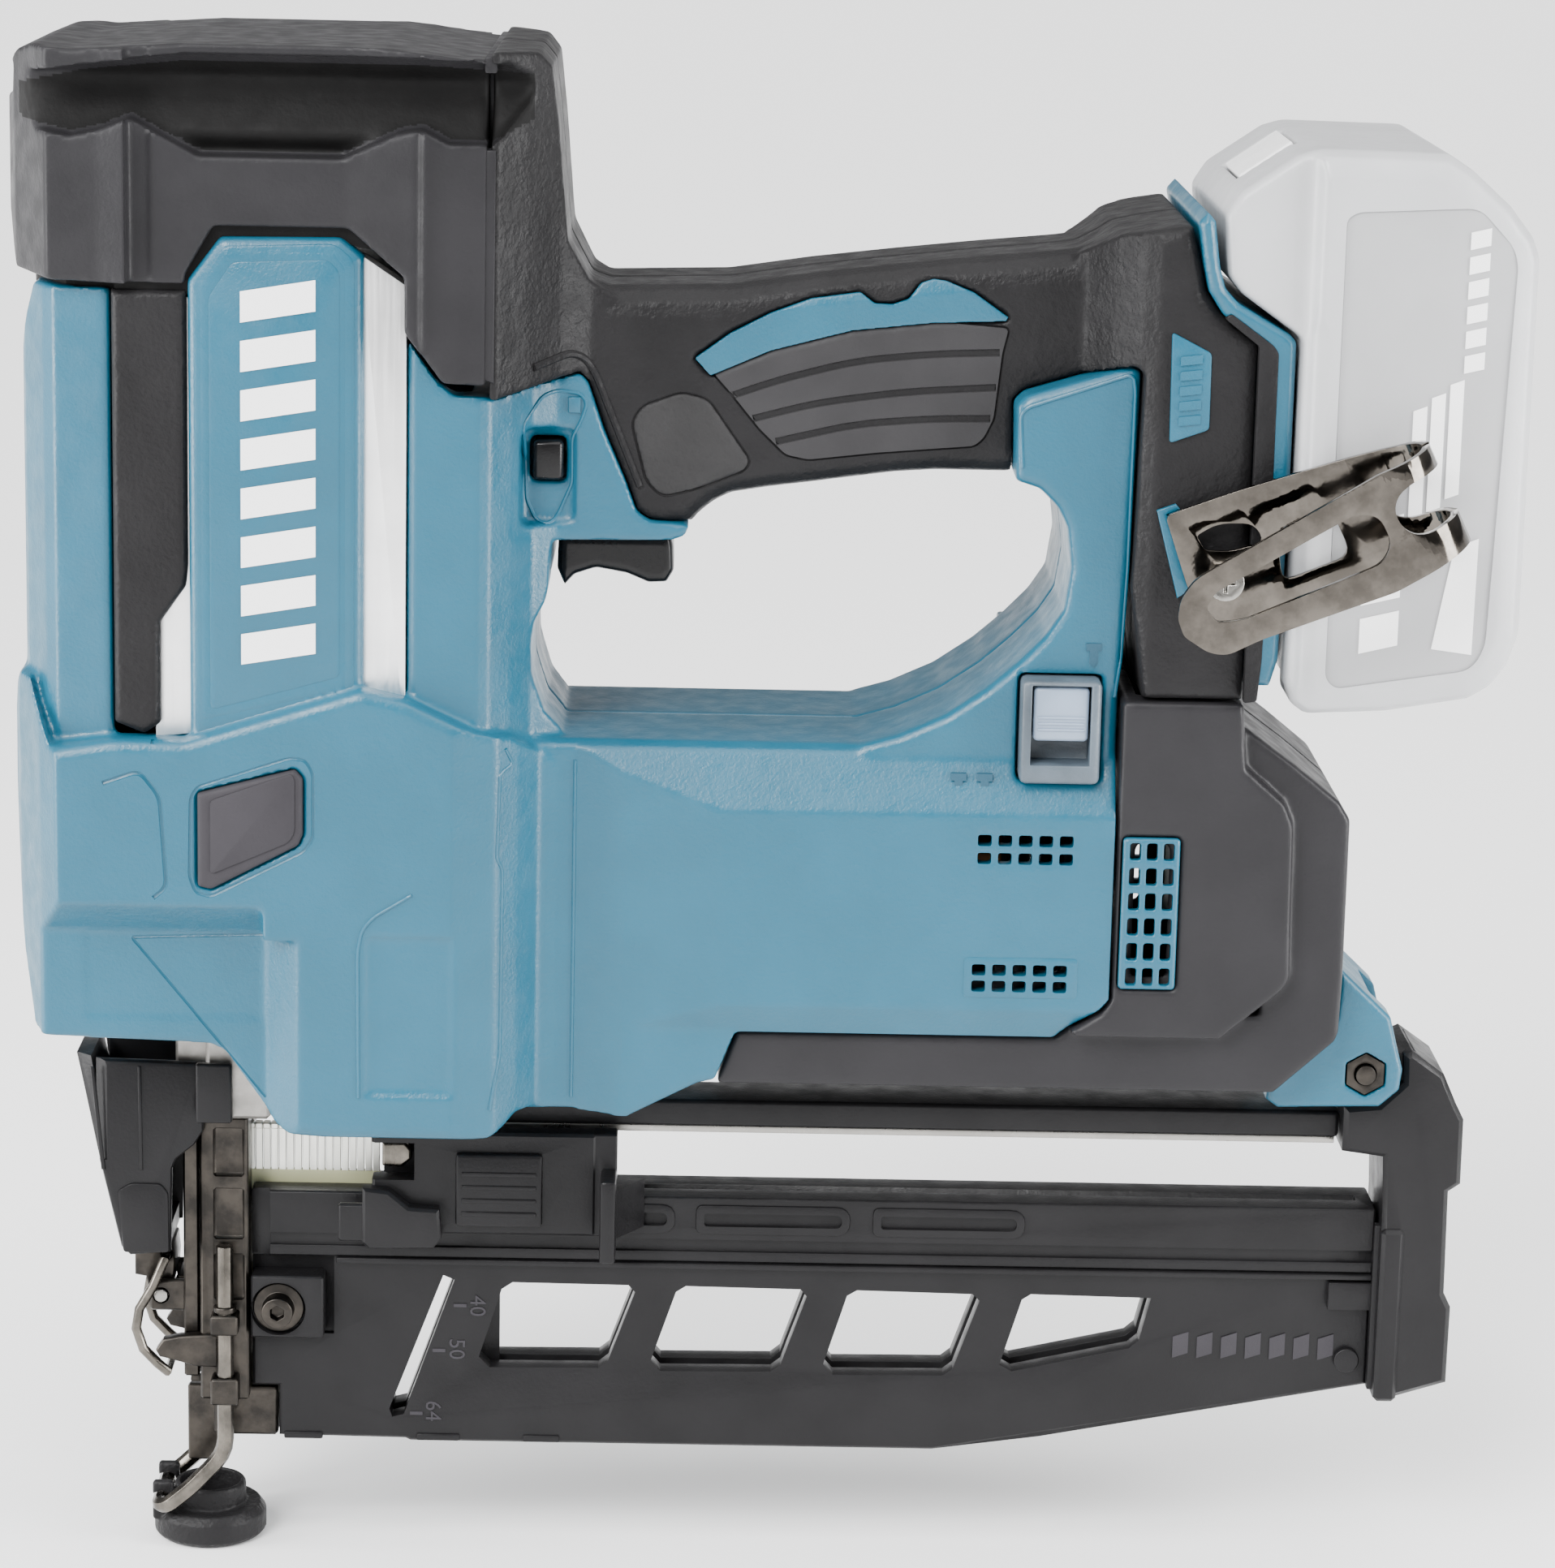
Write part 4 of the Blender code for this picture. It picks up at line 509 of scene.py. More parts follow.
def head_panel(side, word):
    """The crisp cover panel and its raised field, laid on the softened housing."""
    outer = ringed([(2.2, 172), (2.2, 264.0), (7.9, 272.6), (28.9, 273.4), (32.6, 270.3), (32.6, 172)], 1.6)
    field = ringed([(4.4, 182.4), (4.4, 263.2), (9.2, 270.2), (27.9, 271), (30.4, 268.4), (30.4, 189.4)], 1.4)
    panel = side_prism(outer, side, 36.2, 38.45, 0.6)
    carve(panel, [side_prism(ringed(field, 0.2), side, 38.1, 42)])
    inner = [(5.0, 183.3), (5.0, 262.9), (9.5, 269.6), (27.6, 270.4), (29.8, 268.1), (29.8, 190.2)]
    raised = side_prism(ringed(inner, 1.2), side, 37, 38.75, 0.3)
    trims([panel, raised], "cover_face_" + word, "housing_" + word, "teal", 35)
    bars = slanted_bars(side, (38.5, 38.95), (11.0, 192.4), 8, (0.0, 9.4), 14.2, 5.9, 2.4)
    trims(bars, "panel_graphic_" + word, "housing_" + word, "print")


def aluminium_slivers(side, word):
    """The gas chamber's wall, bright between the cover panel and the strips beside it."""
    rear_strip = ringed([(33.4, 187.4), (33.4, 271.2), (42.2, 265.4), (42.2, 178.6)], 0.6)
    front_strip = ringed([(-5.9, 177), (-5.9, 262.4), (1.6, 262.4), (1.6, 178)], 0.5)
    strips = [side_prism(rear_strip, side, 30, 36.0, 0.3), side_prism(front_strip, side, 30, 35.4, 0.3)]
    trims(strips, "chamber_wall_" + word, "drive_cylinder", "aluminium")
    # A dark filler behind the cap's lower edge: painted shade in the gap.
    seal = [
        (-13, 264), (-13, 281), (44, 281), (44, 271.6), (33.2, 272.4), (28.9, 274.2), (7.4, 273.2),
        (1.2, 263.4), (-6.6, 256.0),
    ]
    trim(side_prism(seal, side, 33.0, 36.0), "head_cap", "rubber_painted_shade")


def rectangle(x, z, width, height):
    return [(x, z), (x + width, z), (x + width, z + height), (x, z + height)]


def vent_grid(side, first, rows, height):
    """Cutters for rows of five vent slots in the motor barrel."""
    columns, pitch, width = 5, 4.0, 2.7
    return [
        side_prism(ringed(rectangle(first + pitch * column, row, width, height), 0.5, 2), side, 27.5, 37.0)
        for column in range(columns) for row in rows
    ]


def housing(side, word):
    """One housing half with its vents, grooves and lines, and the skin that later details lie on."""
    node = "housing_" + word
    shell = softened(node, node + "_shell", 0.62, 4)
    upper = [(152.6, 152.6), (152.6, 161.6), (174.6, 161.6), (174.6, 152.6)]
    lower = [(151.8, 127.2), (151.8, 135.4), (174.2, 135.4), (174.2, 127.2)]
    faces = ((upper, 32.9), (lower, 33.15))
    patches = [side_prism(ringed(outline, 1.0), side, 30.2, face, 0.2) for outline, face in faces]
    if side == RIGHT:
        patches.append(box((160.2, 178.0), (22, 33.2), (169.4, 192.0), 0.6))
    carve(shell, patches, "UNION")
    cuts = vent_grid(side, 153.8, (157.8, 154.2), 2.3) + vent_grid(side, 153.4, (131.7, 128.4), 2.3)
    cuts.append(box((68.9, 71.1), sided((26, 45), side), (239.6, 241.4), 0.2))
    skin = Skin(shell)
    cuts += [
        trace(skin, [(14.6, 137.6), (-11.1, 136.6), (15.0, 104.6)], side, 0.4, 0.1),
        trace(skin, [(1.4, 166.4), (2.7, 168.6), (20.4, 174.6), (23.5, 174.3), (24.9, 171.7), (24.9, 158.8),
                     (23, 156.1), (5.2, 146.9), (2.3, 147.6), (1.1, 150.9)], side, 0.42, 0.12, 1.0, True),
        trace(skin, [(-15.6, 169), (-8.5, 171.6), (-4.6, 166.6), (-3.4, 148.6), (-6, 146.4)], side, 0.5, 0.1,
              2.0),
        trace(skin, [(-6.1, 176.8), (-6.1, 186), (-5.6, 198.2), (-0.4, 205.7)], side, 0.3, 0.05),
    ]
    carve(shell, cuts)
    finish(shell, BODY_OF[node], "teal", node)
    lines = [
        trace(skin, [(43.9, 147.9), (36.6, 143.4), (34.3, 140.7), (33.5, 136.3), (33.7, 106.8)], side, 0.35,
              0.0, 1.5),
        trace(skin, [(74.9, 172.2), (74.9, 103.6)], side, 0.35, 0.0),
        trace(skin, [(61.6, 176.2), (63.0, 173.0), (60.6, 171.6), (60.2, 154.6), (61.2, 152.4), (61.0, 115.1),
                     (59.2, 104)], side, 0.38, -0.05, 1.0),
        trace(skin, [(64.6, 222.6), (66.4, 218.6), (69, 217.8), (70.7, 219.4), (73.5, 226), (73.4, 235),
                     (75.2, 238.6), (76.2, 241.8), (74.9, 243.6), (70.3, 244.2), (67.6, 243.3), (64.1, 238.2)],
              side, 0.4, -0.05, 1.2, True, 0.5, 2.6),
    ]
    trims([line for line in lines if line.data.polygons], "housing_lines_" + word, node, "teal")
    padlock = side_prism([(72.6, 239.9), (74.9, 239.9), (74.9, 242.9), (72.6, 242.9)], side, 21.4, 22.6, 0.15)
    trims([padlock], "padlock_body_" + word, node, "teal")
    head_panel(side, word)
    aluminium_slivers(side, word)
    return skin


def nail_icons(skin, side, word):
    """Single and repeated nail pictures that tell the two firing modes apart."""
    icons = []
    places = ((149.8, 171.7, 166.9, 165.5), (154.9, 171.7, 166.9, 165.5), (175.4, 197.6, 193.7, 192.8))
    for x, top, foot, tip in places:
        outline = [
            (x - 1.5, top), (x + 1.5, top), (x + 1.5, top - 1.5), (x + 0.8, top - 1.5), (x + 0.8, foot),
            (x, tip), (x - 0.8, foot), (x - 0.8, top - 1.5), (x - 1.5, top - 1.5),
        ]
        hit = skin.under(x, top - 2, side)
        level = abs(hit.y) / MM if hit else 33.4
        icons.append(side_prism(outline, side, level - 0.8, level + 0.25))
    # The icons take the darker teal: painted shade of an engraving.
    trims(icons, "mode_icons_" + word, "housing_" + word, "teal_painted_shade")


def guards(side, word):
    moulded("side_guard_" + word, "rubber", 0.45, 4)
    moulded("side_pad_" + word, "pad", 0.35, 4)
    frame_line = [(5.2, 151.6), (5.2, 166.2), (20.8, 171.8), (21.4, 170.8), (21.4, 160.2), (20.2, 158.2)]
    rim = side_prism(ringed(frame_line, 1.0), side, 41.3, 42.2, 0.3)
    trim(rim, "side_pad_" + word, "pad")


# ---------------------------------------------------------------- grip and rear
RIB_ARCS = (
    [(103.8, 243.4), (113.2, 246.8), (128.2, 250.8), (143.2, 252.4), (155.7, 252.9)],
    [(108.3, 239.1), (120.8, 242.5), (138.4, 245), (155.2, 246.1)],
    [(112.8, 234.7), (128.5, 238.5), (143.6, 239.8), (154.3, 240)],
)
RIB_FIELD = [
    (98.9, 249.6), (104.5, 243.4), (109.6, 237.2), (114.8, 232.2), (119.2, 231.3), (132.4, 232.9),
    (151.3, 234.6), (153.1, 236.2), (154.9, 240), (156.2, 252.9), (157.3, 257.6), (143, 258.6),
    (128, 256.6), (118, 254.6), (106.8, 251.6),
]
THUMB_PAD = [
    (84.9, 237.9), (86.9, 241.1), (94.4, 243.8), (99.5, 242.6), (107.9, 230.7), (106.7, 228.8),
    (98.5, 225.4), (91, 223.5), (87.9, 226.5),
]


def grip(side, word):
    node = "grip_" + word
    shell = softened(node, node + "_shell", 0.62, 4, 1.0)
    skin = Skin(shell)
    field = linked("rib_field", shell.data.copy())
    add(field, "DISPLACE", strength=0.35 * MM, mid_level=0.0, direction="NORMAL")
    baked(field)
    carve(field, [side_prism(ringed(RIB_FIELD, 1.0), side, 8, 40)], "INTERSECT")
    carve(field, [trace(skin, path, side, 0.75, 0.35, 6.0) for path in RIB_ARCS])
    trim(field, node, "rubber_ribs")
    pad = inlaid(shell, ringed(THUMB_PAD, 1.6), side, 0.30, 8, "thumb_pad_" + word, 0.45, 2)
    trim(pad, node, "rubber_rough")
    edges = ((RIB_FIELD, 1.0), (THUMB_PAD, 1.6))
    carve(shell, [trace(skin, outline, side, 0.5, 0.15, corner, True) for outline, corner in edges])
    chosen = scooped(shell)
    lip = [(86.6, 225.4), (77.6, 247.5), (75.6, 250.4), (73, 251.6), (66, 249.6)]
    trims([trace(skin, lip, side, 0.8, -0.1, 3.0)], "trigger_lip_" + word, node, "rubber")
    finish(shell, BODY_OF[node], "rubber", node)
    # painted shade on the hollow under the roof
    paint_hollow_shade(shell, chosen)
    moulded("grip_inlay_" + word, "teal", 0.3, 3)
    badge(skin, side, word)


def badge(skin, side, word):
    outline = ringed([(187.6, 259.3), (195.3, 255.4), (195.4, 240.7), (187.9, 238.0)], 0.8)
    plate = side_prism(outline, side, 32.6, 33.9, 0.3)
    bars = slanted_bars(side, (33.4, 34.3), (189.4, 241.4), 5, (0.0, 2.9), 4.2, 1.7, 0.5)
    trims([plate] + bars, "badge_" + word, "grip_" + word, "teal")
    rim = [
        (204.2, 187.6), (204.2, 257.0), (197.4, 262.2), (198.6, 263.2), (207.0, 257.2), (208.0, 255.8),
        (208.0, 226), (207.4, 196), (206.8, 188),
    ]
    trim(side_prism(ringed(rim, 0.6), side, 32.0, 34.8, 0.3), "grip_" + word, "rubber")


SCOOP = [
    (-40, 296), (-27, 294.2), (-21, 293.0), (-15, 294.3), (-10, 296.4), (-6, 294.4), (3, 289.7),
    (30, 289.7), (40.7, 294.6), (45, 295.4), (50, 292.8), (58, 292.8), (66, 296.5), (66, 305.4),
    (58, 306.0), (44, 306.8), (0, 306.8), (-20, 304.4), (-28, 302.8), (-40, 300),
]


def inside(outline, x, z):
    """Whether a side-view point lies inside an outline."""
    crossed = False
    for (x0, z0), (x1, z1) in zip(outline, outline[1:] + outline[:1]):
        if (z0 > z) != (z1 > z) and x < (x1 - x0) * (z - z0) / (z1 - z0) + x0:
            crossed = not crossed
    return crossed


def scooped(obj):
    """Melts the finger groove under the head's roof into one smooth hollow, and returns its vertices."""
    group = obj.vertex_groups.new(name="scoop")
    chosen = [
        v.index for v in obj.data.vertices
        if abs(v.co.y) > 24 * MM and inside(SCOOP, v.co.x / MM - AXIS_X, v.co.z / MM)
    ]
    group.add(chosen, 1.0, "REPLACE")
    add(obj, "SMOOTH", factor=0.5, iterations=24, vertex_group="scoop")
    baked(obj)
    return set(chosen)


def paint_hollow_shade(obj, chosen):
    """Gives the faces of the hollow a darker, duller material: painted shade for the shadow under the head's
    roof.
    """
    obj.data.materials.append(MATERIALS["rubber_painted_shade"])
    for polygon in obj.data.polygons:
        if all(index in chosen for index in polygon.vertices):
            polygon.material_index = 1


def head_cap():
    shell = softened("head_cap", "head_cap_shell", 0.62, 5, 1.0)
    chosen = scooped(shell)
    finish(shell, BODY_OF["head_cap"], "cap", "head_cap")
    # painted shade on the hollow under the roof
    paint_hollow_shade(shell, chosen)
    # A dark ring under the cap's edge: painted shade in the gap.
    plan = [(-31.6, 9), (-29.8, 19), (-25, 29), (-22.6, 32), (-15, 33.4), (-13.2, 33.4)]
    seal = prism(plan + [(x, -y) for x, y in reversed(plan)], "Z", 262.0, 268.0)
    trim(seal, "head_cap", "rubber_painted_shade")
    lower = [(56.6, 248.2), (58.9, 247.4), (58.9, 291.4), (56.6, 291.4)]
    upper = [(56.6, 289), (58.9, 289), (58.9, 307), (56.6, 307)]
    seams = [box((56.6, 58.9), (-35.5, 35.5), (305.5, 308.6), 0.4)]
    for side in BOTH:
        seams.append(side_prism(lower, side, 33, 38.1, 0.3))
        seams.append(side_prism(upper, side, 20, 27.0, 0.3))
    trims(seams, "head_seam", "head_cap", "cap")


def rear(word):
    moulded("rear_cover_" + word, "cover", 0.62, 4)
    moulded("vent_insert_" + word, "teal", 0.28, 2, 0.5)


def foot_lines(skin, side, word):
    bead = trace(
        skin,
        [(160.4, 231.8), (159.7, 241.9), (160.8, 243.5), (180.2, 250.1), (181.2, 249.6), (181.6, 246.8),
         (181.4, 212.6), (180.8, 194.6), (179.8, 186.9)],
        side, 0.4, 0.0, 1.0,
    )
    trims([bead], "foot_lip_" + word, "housing_" + word, "teal")


# ---------------------------------------------------------------- battery
BATTERY_SIDE = [
    (219.3, 281.9), (221.4, 283.2), (244.4, 284.4), (251.2, 277.1), (252.2, 273.8), (250.0, 199.8),
    (247.4, 195.5), (221.4, 191.4), (219.4, 193.4),
]


def battery():
    moulded("battery_mount", "teal", 0.5, 3)
    pack = softened("battery_pack", "battery_pack_shell", 0.75, 5)
    block = [(239.6, 199.6), (247.4, 198.6), (247.6, 221.3), (243.0, 219.4)]
    cuts, bars = [], []
    for side in BOTH:
        cuts.append(side_prism(ringed(BATTERY_SIDE, 2.5), side, 37.15, 45))
        bars += slanted_bars(side, (36.9, 37.4), (225.6, 198.4), 3, (0.0, 9.4), 7.4, 6.8, 1.8)
        bars += slanted_bars(side, (36.9, 37.4), (233.8, 223.6), 3, (3.4, 2.6), 2.6, 22.0, 1.0)
        bars += slanted_bars(side, (36.9, 37.4), (243.0, 253), 6, (0.0, 4.7), 3.8, 3.3, 0.9)
        bars.append(side_prism(block, side, 36.9, 37.4))
    carve(pack, cuts)
    finish(pack, BODY_OF["battery_pack"], "battery", "battery_pack")
    for side in BOTH:
        panel = side_prism(ringed(BATTERY_SIDE, 2.5), side, 36.0, 37.2, 0.2)
        trim(panel, "battery_pack", "battery_side")
    trims(bars, "battery_graphic", "battery_pack", "print")
    moulded("battery_button", "battery_light", 0.3, 3)
    edged("terminal_block", "black", 0.2)


# ---------------------------------------------------------------- belt hook and switch
HOOK_AT, HOOK_TILT = (199.0, 212.5), math.radians(26.0)
HOOK_THICKNESS = 1.5
HOOK_BEND = {"centre": (35.0, -50.6), "radius": 9.4, "steps": 16}
PRONG_GAP = [
    (60, 6.4), (38, 6.6), (35.4, 5.8), (33.8, 3.9), (33.4, 1.8), (33.9, -0.6), (35.6, -2.6), (38, -3.4),
    (60, -3.2),
]


def strap(centre_line, outline, slots, name):
    """A bent strip of spring steel: a centre line in (u, y), trimmed to an outline across it."""
    outer, inner = [], []
    for i, spot in enumerate(centre_line):
        before = Vector(centre_line[max(i - 1, 0)])
        after = Vector(centre_line[min(i + 1, len(centre_line) - 1)])
        along = (after - before).normalized()
        across = Vector((-along.y, along.x)) * HOOK_THICKNESS / 2
        outer.append(tuple(Vector(spot) + across))
        inner.append(tuple(Vector(spot) - across))
    piece = prism(outer + inner[::-1], "Z", -22.0, 22.0, name=name)
    carve(piece, [prism(ringed(outline, 1.5), "Y", -80, -20)], "INTERSECT")
    carve(piece, [prism(ringed(slot, 3.0), "Y", -80, -20) for slot in slots])
    turn = Matrix.Translation(at(HOOK_AT[0], 0, HOOK_AT[1])) @ Matrix.Rotation(-HOOK_TILT, 4, "Y")
    piece.data.transform(turn @ Matrix.Translation(-at(0, 0, 0)))
    add(piece, "BEVEL", width=0.3 * MM, segments=3, limit_method="ANGLE", angle_limit=math.radians(45))
    return baked(piece)


def belt_hook():
    """Clip arm and base arm of one strap, folded through two prongs at the rear end."""
    (u, y), radius, steps = HOOK_BEND.values()
    turns = [math.pi * i / steps for i in range(steps + 1)]
    bend = [(u + radius * math.sin(turn), y + radius * math.cos(turn)) for turn in turns]
    half = steps // 2
    base = [(-8.0, -35.6), (8, -37.2), (22.0, -39.4), (30, -40.8)] + bend[:half + 1]
    clip = bend[half:] + [(28, -59.6), (14, -58.4), (2, -57.4), (-11.5, -56.2)]
    clip_outline = [
        (-11.6, -2.8), (-8.6, -7.6), (-5.6, -9.4), (1.2, -9.2), (28, -11.0), (36.4, -10.2), (44, -9.4),
        (60, -9.2), (60, 10.2), (40, 10.6), (33.6, 10.9), (-5.2, 6.4), (-9.3, 4.0), (-11.3, 0.8),
    ]
    base_outline = [
        (-7.0, 0.6), (-4, -8.6), (4, -9.4), (28, -10.8), (36.4, -10.2), (44, -9.4), (60, -9.2), (60, 10.2),
        (40, 10.8), (30, 12.4), (10, 14.6), (-5.2, 15.8),
    ]
    clip_slot = [
        (-5.6, 0.4), (-3.2, 2.6), (27.0, 5.8), (30.6, 3.6), (30.8, -2.2), (27.6, -5.0), (-0.5, -4.4),
        (-4.8, -2.8),
    ]
    base_slot = [(-1.4, 9.8), (3.2, 10.4), (9.6, 7.6), (10.0, 3.4), (3.0, 4.4), (-1.0, 6.6)]
    base_slot_two = [(10, -5), (24, -5.4), (24, 5.2), (13, 4.8)]
    pieces = [
        strap(clip, clip_outline, [clip_slot, PRONG_GAP], "clip"),
        strap(base, base_outline, [base_slot, base_slot_two, PRONG_GAP], "base"),
    ]
    finish(joined(pieces, "belt_hook_strap"), BODY_OF["belt_hook"], "chrome", "belt_hook", angle=35)
    edged("hook_screw", "bright_steel", 0.2)
    lip = [(186.0, 225.0), (189.6, 226.3), (190.4, 225.4), (187.9, 224.3), (193.4, 210.0), (190.6, 208.0)]
    trim(side_prism(lip, LEFT, 32.8, 34.4, 0.2), "grip_left", "teal")


def mode_switch():
    edged("mode_bezel", "bezel")
    edged("mode_slider", "lens")
    ridges = [box((164.6, 173.8), (-32.95, -32.2), (z, z + 0.5), 0.15, 1) for z in (181.0, 182.2, 183.4)]
    trims(ridges, "mode_slider_ridges", "mode_slider", "lens")


# ---------------------------------------------------------------- nose
def nose():
    edged("latch_lever", "black", 0.5, 3)
    boss = [(-16.1, 64.5), (-17.2, 77.6), (-14.4, 79.3), (-8.3, 79.2), (-6.9, 77.3), (-6.8, 64.6)]
    front_rib = [(-20.4, 82), (-19.6, 82), (-21.6, 103.6), (-22.4, 103.6)]
    rear_rib = [(-12.7, 82), (-12.0, 82), (-12.2, 103.9), (-12.9, 103.9)]
    facets = []
    for side in BOTH:
        facets.append(side_prism(ringed(boss, 0.8), side, 11.6, 12.8, 0.4))
        facets += [side_prism(rib, side, 11.9, 12.5, 0.2) for rib in (front_rib, rear_rib)]
    trims(facets, "latch_lever_facets", "latch_lever", "black")
    for node, material, width in (
        ("driver_guide", "dark_steel", 0.3), ("nose_bracket", "black", 0.2), ("nose_door", "dark_steel", 0.3),
        ("latch_plate", "dark_steel", 0.2), ("latch_pin", "bright_steel", 0.2),
        ("magazine_clamp", "black", 0.3), ("magazine_screw", "dark_steel", 0.25),
        ("pusher_tip", "rod_steel", 0.4),
    ):
        edged(node, material, width)
    edged("latch_bail", "rod_steel", 0.05)
    edged("contact_arm", "rod_steel", 0.05)
    moulded("nose_cushion", "rubber", 0.3, 3)
    collars = [cylinder((4.4, side * 11.8), "Z", 2.35, 51.9, 53.2, 0.25) for side in BOTH]
    trims(collars, "contact_arm_collars", "contact_arm", "dark_steel")


# ---------------------------------------------------------------- magazine
NAIL_MARKS = (
    ("64", (41.9, 28.2), (45.2, 31.4)), ("50", (46.5, 42.0), (50.0, 45.0)), ("40", (50.8, 51.8), (54.2, 54.4)),
)
MAGAZINE_WALL = 6.3


def gauge():
    """Short raised ticks beside the sight slot, each with its nail length in millimetres."""
    made = []
    for length, tick, label in NAIL_MARKS:
        outline = rectangle(*tick, 2.6, 0.7)
        made.append(side_prism(outline, LEFT, MAGAZINE_WALL - 0.5, MAGAZINE_WALL + 0.25))
        font = bpy.data.curves.new("number", "FONT")
        font.body = length
        font.size = 4.6 * MM
        font.extrude = 0.2 * MM
        font.resolution_u = 3
        obj = linked("number", font)
        bpy.context.view_layer.update()
        mesh = bpy.data.meshes.new_from_object(obj)
        drop(obj)
        turn = Matrix.Rotation(math.pi / 2, 4, "X") @ Matrix.Rotation(-math.radians(90), 4, "Z")
        mesh.transform(Matrix.Translation(at(label[0], -MAGAZINE_WALL - 0.05, label[1])) @ turn)
        made.append(linked("number", mesh))
    trims(made, "gauge_numbers", "magazine_body", "pad")


def magazine():
    details = []
    for side in BOTH:
        details.append(box((26.8, 239.2), sided((6.8, 8.2), side), (61.4, 62.6), 0.3))
        for low, high in ((68.6, 96.0), (100.2, 131.8), (136.4, 167.6)):
            outer = [(low, 68.9), (high, 68.9), (high, 75.1), (low, 75.1)]
            inner = [(low + 1.7, 70.6), (high - 1.7, 70.6), (high - 1.7, 73.4), (low + 1.7, 73.4)]
            rim = side_prism(ringed(outer, 3.0), side, 6.7, 8.0, 0.35)
            details.append(carve(rim, [side_prism(ringed(inner, 1.4), side, 5, 9)]))
        details.append(box((239.2, 242.4), sided((6.0, 8.4), side), (37.8, 73.4), 0.4))
        details.append(box((230.4, 241.4), sided((5.6, 8.0), side), (54.8, 60.8), 0.4))
        details.append(cylinder((235, 43.6), "Y", 2.6, *sided((5.8, 7.3), side), 0.3))
        for low, high in ((43.2, 52.2), (65.2, 72.8), (15.9, 23.9)):
            details.append(box((low, high), sided((5.4, 6.7), side), (22.6, 24.2), 0.4))
    edged("magazine_body", "black")
    trims(details, "magazine_details", "magazine_body", "black")
    marks = [slanted_bars(side, (6.1, 6.5), (199, 43.4), 7, (5.0, 0.0), 3.2, 4.6, 1.1) for side in BOTH]
    trims(marks[0] + marks[1], "magazine_graphic", "magazine_body", "pad")
    gauge()
    edged("magazine_rail", "black", 0.3)
    edged("nail_rail", "bright_steel", 0.15)
    edged("magazine_post", "black", 0.5, 3)


def brads():
    """One glued stick of brads, in place of the plain block."""
    first, pitch, count = 2.4, 1.6, 21
    wires, heads = [], []
    for x in (first + pitch * i for i in range(count)):
        wires.append(box((x - 0.72, x + 0.72), (-0.7, 0.7), (26.2, 88.2), 0.12, 1))
        wires.append(prism([(-0.7, 26.4), (0.7, 26.4), (0.2, 25.1), (-0.2, 25.1)], "X", x - 0.72, x + 0.72))
        heads.append(box((x - 0.76, x + 0.76), (-1.2, 1.2), (87.7, 88.95), 0.2, 1))
    stick = joined(wires + heads, "brads")
    finish(stick, BODY_OF["nail_strip"], "nails", "nail_strip")
    films = [box((1.7, 35.2), (-0.78, 0.78), (low, low + 7), 0.1, 1) for low in (32, 52, 72)]
    trims(films, "glue_films", "nail_strip", "glue")


def pusher():
    body = crisp("pusher", 0.35, 3)
    sight_slot = [(48.9, 59.2), (51.4, 58.0), (40.8, 27.6), (37.4, 27.0), (36.6, 29.2)]
    carve(body, [prism(sight_slot, "Y", -1.9, 1.9)])
    finish(body, BODY_OF["pusher"], "black", "pusher")
    edged("pusher_latch", "black", 0.35, 3)
    ridges = [box((52.6, 67.8), (-15.5, -14.9), (z, z + 0.9), 0.25) for z in (74.4, 77.2, 80, 82.8)]
    trims(ridges, "thumb_ridges", "pusher", "black")


def inner_parts():
    for node, material in (
        ("drive_cylinder", "aluminium"), ("cylinder_head", "aluminium"), ("bumper", "rubber"),
        ("piston", "aluminium"), ("driver_blade", "blade_steel"), ("drive_frame", "cast"),
        ("lifter", "blade_steel"), ("gearbox_case", "aluminium"), ("motor_stator", "copper"),
        ("motor_rotor", "blade_steel"), ("controller_board", "board"), ("trigger_pin", "bright_steel"),
        ("trigger_switch", "black"), ("bracket_bolt", "dark_steel"), ("bracket_nut", "dark_steel"),
    ):
        edged(node, material, 0.25)
    moulded("trigger", "trigger", 0.35, 5)
    edged("lock_button", "trigger", 0.4, 3)
    moulded("rear_bracket", "teal", 0.4, 3)


# ---------------------------------------------------------------- room, light and camera
def aimed(obj, place, target):
    obj.location = place
    obj.rotation_euler = (Vector(target) - Vector(place)).to_track_quat("-Z", "Y").to_euler()
    return obj


def soft_box(name, place, target, size, power):
    data = bpy.data.lights.new(name, "AREA")
    data.shape = "RECTANGLE"
    data.size, data.size_y = size
    data.energy = power
    return aimed(linked(name, data), place, target)


def direction(azimuth, elevation):
    """The unit vector towards an azimuth from -Y and an elevation, both in degrees."""
    azimuth, elevation = math.radians(azimuth), math.radians(elevation)
    return Vector((
        math.sin(azimuth) * math.cos(elevation), -math.cos(azimuth) * math.cos(elevation), math.sin(elevation),
    ))


def sky_lamp(name, azimuth, elevation, angle, strength):
    """A broad overhead light, the same at every point of the floor."""
    data = bpy.data.lights.new(name, "SUN")
    data.energy = strength
    data.angle = math.radians(angle)
    return aimed(linked(name, data), direction(azimuth, elevation), (0, 0, 0))


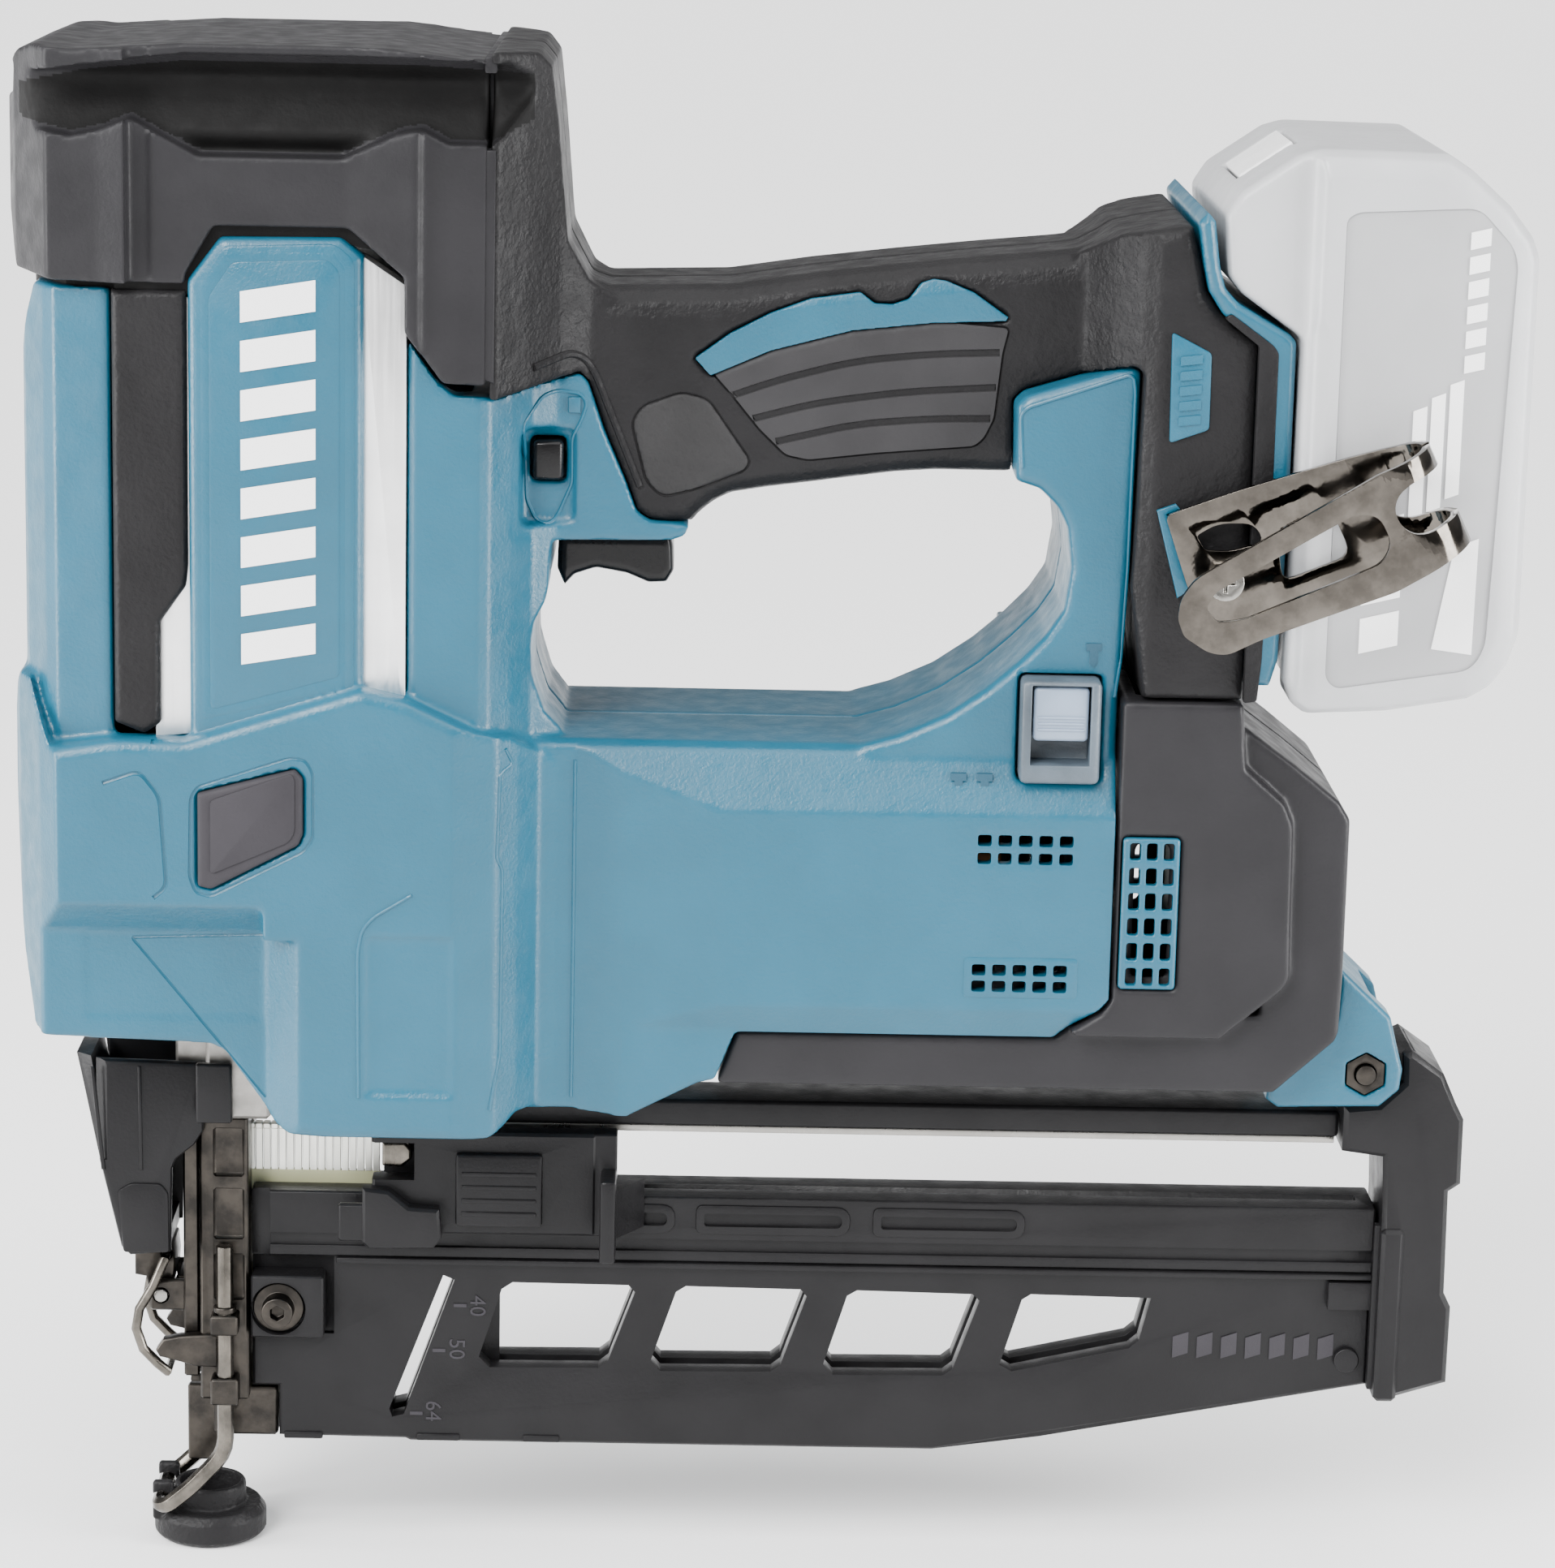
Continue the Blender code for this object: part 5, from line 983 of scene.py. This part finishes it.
def studio():
    bm = bmesh.new()
    bmesh.ops.create_grid(bm, x_segments=1, y_segments=1, size=30.0)
    floor = new_object(bm, "floor")
    floor.location = (0, 0, -0.0004)
    made = Nodes("pale_floor", (0.90, 0.90, 0.90), 0.9)
    made.vary_roughness(3.0, 0.03)
    floor.data.materials.append(made.material)
    world = bpy.data.worlds.new("studio")
    bpy.context.scene.world = world
    world.use_nodes = True
    tree = world.node_tree
    where = tree.nodes.new("ShaderNodeTexCoord").outputs["Generated"]
    split = tree.nodes.new("ShaderNodeSeparateXYZ")
    tree.links.new(where, split.inputs["Vector"])
    shift = tree.nodes.new("ShaderNodeMath")
    shift.operation = "MULTIPLY_ADD"
    shift.inputs[1].default_value = 0.5
    shift.inputs[2].default_value = 0.5
    tree.links.new(split.outputs["Z"], shift.inputs[0])
    tone = tree.nodes.new("ShaderNodeValToRGB")
    stops = ((0.0, 0.5), (0.495, 0.5), (0.5, 1.5), (0.555, 1.35), (0.575, 0.14), (0.66, 0.30), (1.0, 1.10))
    for i, (position, level) in enumerate(stops):
        element = tone.color_ramp.elements[i] if i in (0, 1) else tone.color_ramp.elements.new(position)
        element.position = position
        element.color = (level, level, level * 1.01, 1.0)
    tree.links.new(shift.outputs["Value"], tone.inputs["Fac"])
    tree.links.new(tone.outputs["Color"], tree.nodes["Background"].inputs["Color"])
    tree.nodes["Background"].inputs["Strength"].default_value = 1.0
    middle = (0.11, 0.0, 0.16)
    sky_lamp("key", -30, 36, 28, 4.6)
    sky_lamp("top", 20, 76, 70, 3.0)
    soft_box("right_box", (0.862, -0.274, 0.33), middle, (0.30, 0.6), 12.0)
    soft_box("left_box", (-0.66, -0.207, 0.33), middle, (0.30, 0.6), 11.0)


CAMERA = {
    "target": (0.1100, 0.0, 0.1619), "azimuth": -1.0, "elevation": 13.0, "roll": 1.3, "distance": 0.936,
    "lens": 106.5,
}


def camera():
    back = direction(CAMERA["azimuth"], CAMERA["elevation"])
    roll = math.radians(CAMERA["roll"])
    right = Vector((0, 0, 1)).cross(back).normalized()
    up = back.cross(right)
    turned_right = math.cos(roll) * right + math.sin(roll) * up
    turned_up = math.cos(roll) * up - math.sin(roll) * right
    data = bpy.data.cameras.new("camera")
    data.lens = CAMERA["lens"]
    data.sensor_fit = "VERTICAL"
    data.sensor_height = 36.0
    data.clip_start, data.clip_end = 0.02, 60.0
    obj = linked("camera", data)
    pose = Matrix((turned_right, turned_up, back)).transposed().to_4x4()
    pose.translation = Vector(CAMERA["target"]) + back * CAMERA["distance"]
    obj.matrix_world = pose
    bpy.context.scene.camera = obj


for side, word in SIDES:
    skin = housing(side, word)
    foot_lines(skin, side, word)
    guards(side, word)
    grip(side, word)
    rear(word)
    if side == LEFT:
        nail_icons(skin, side, word)
head_cap()
battery()
belt_hook()
mode_switch()
nose()
magazine()
brads()
pusher()
inner_parts()
studio()
camera()
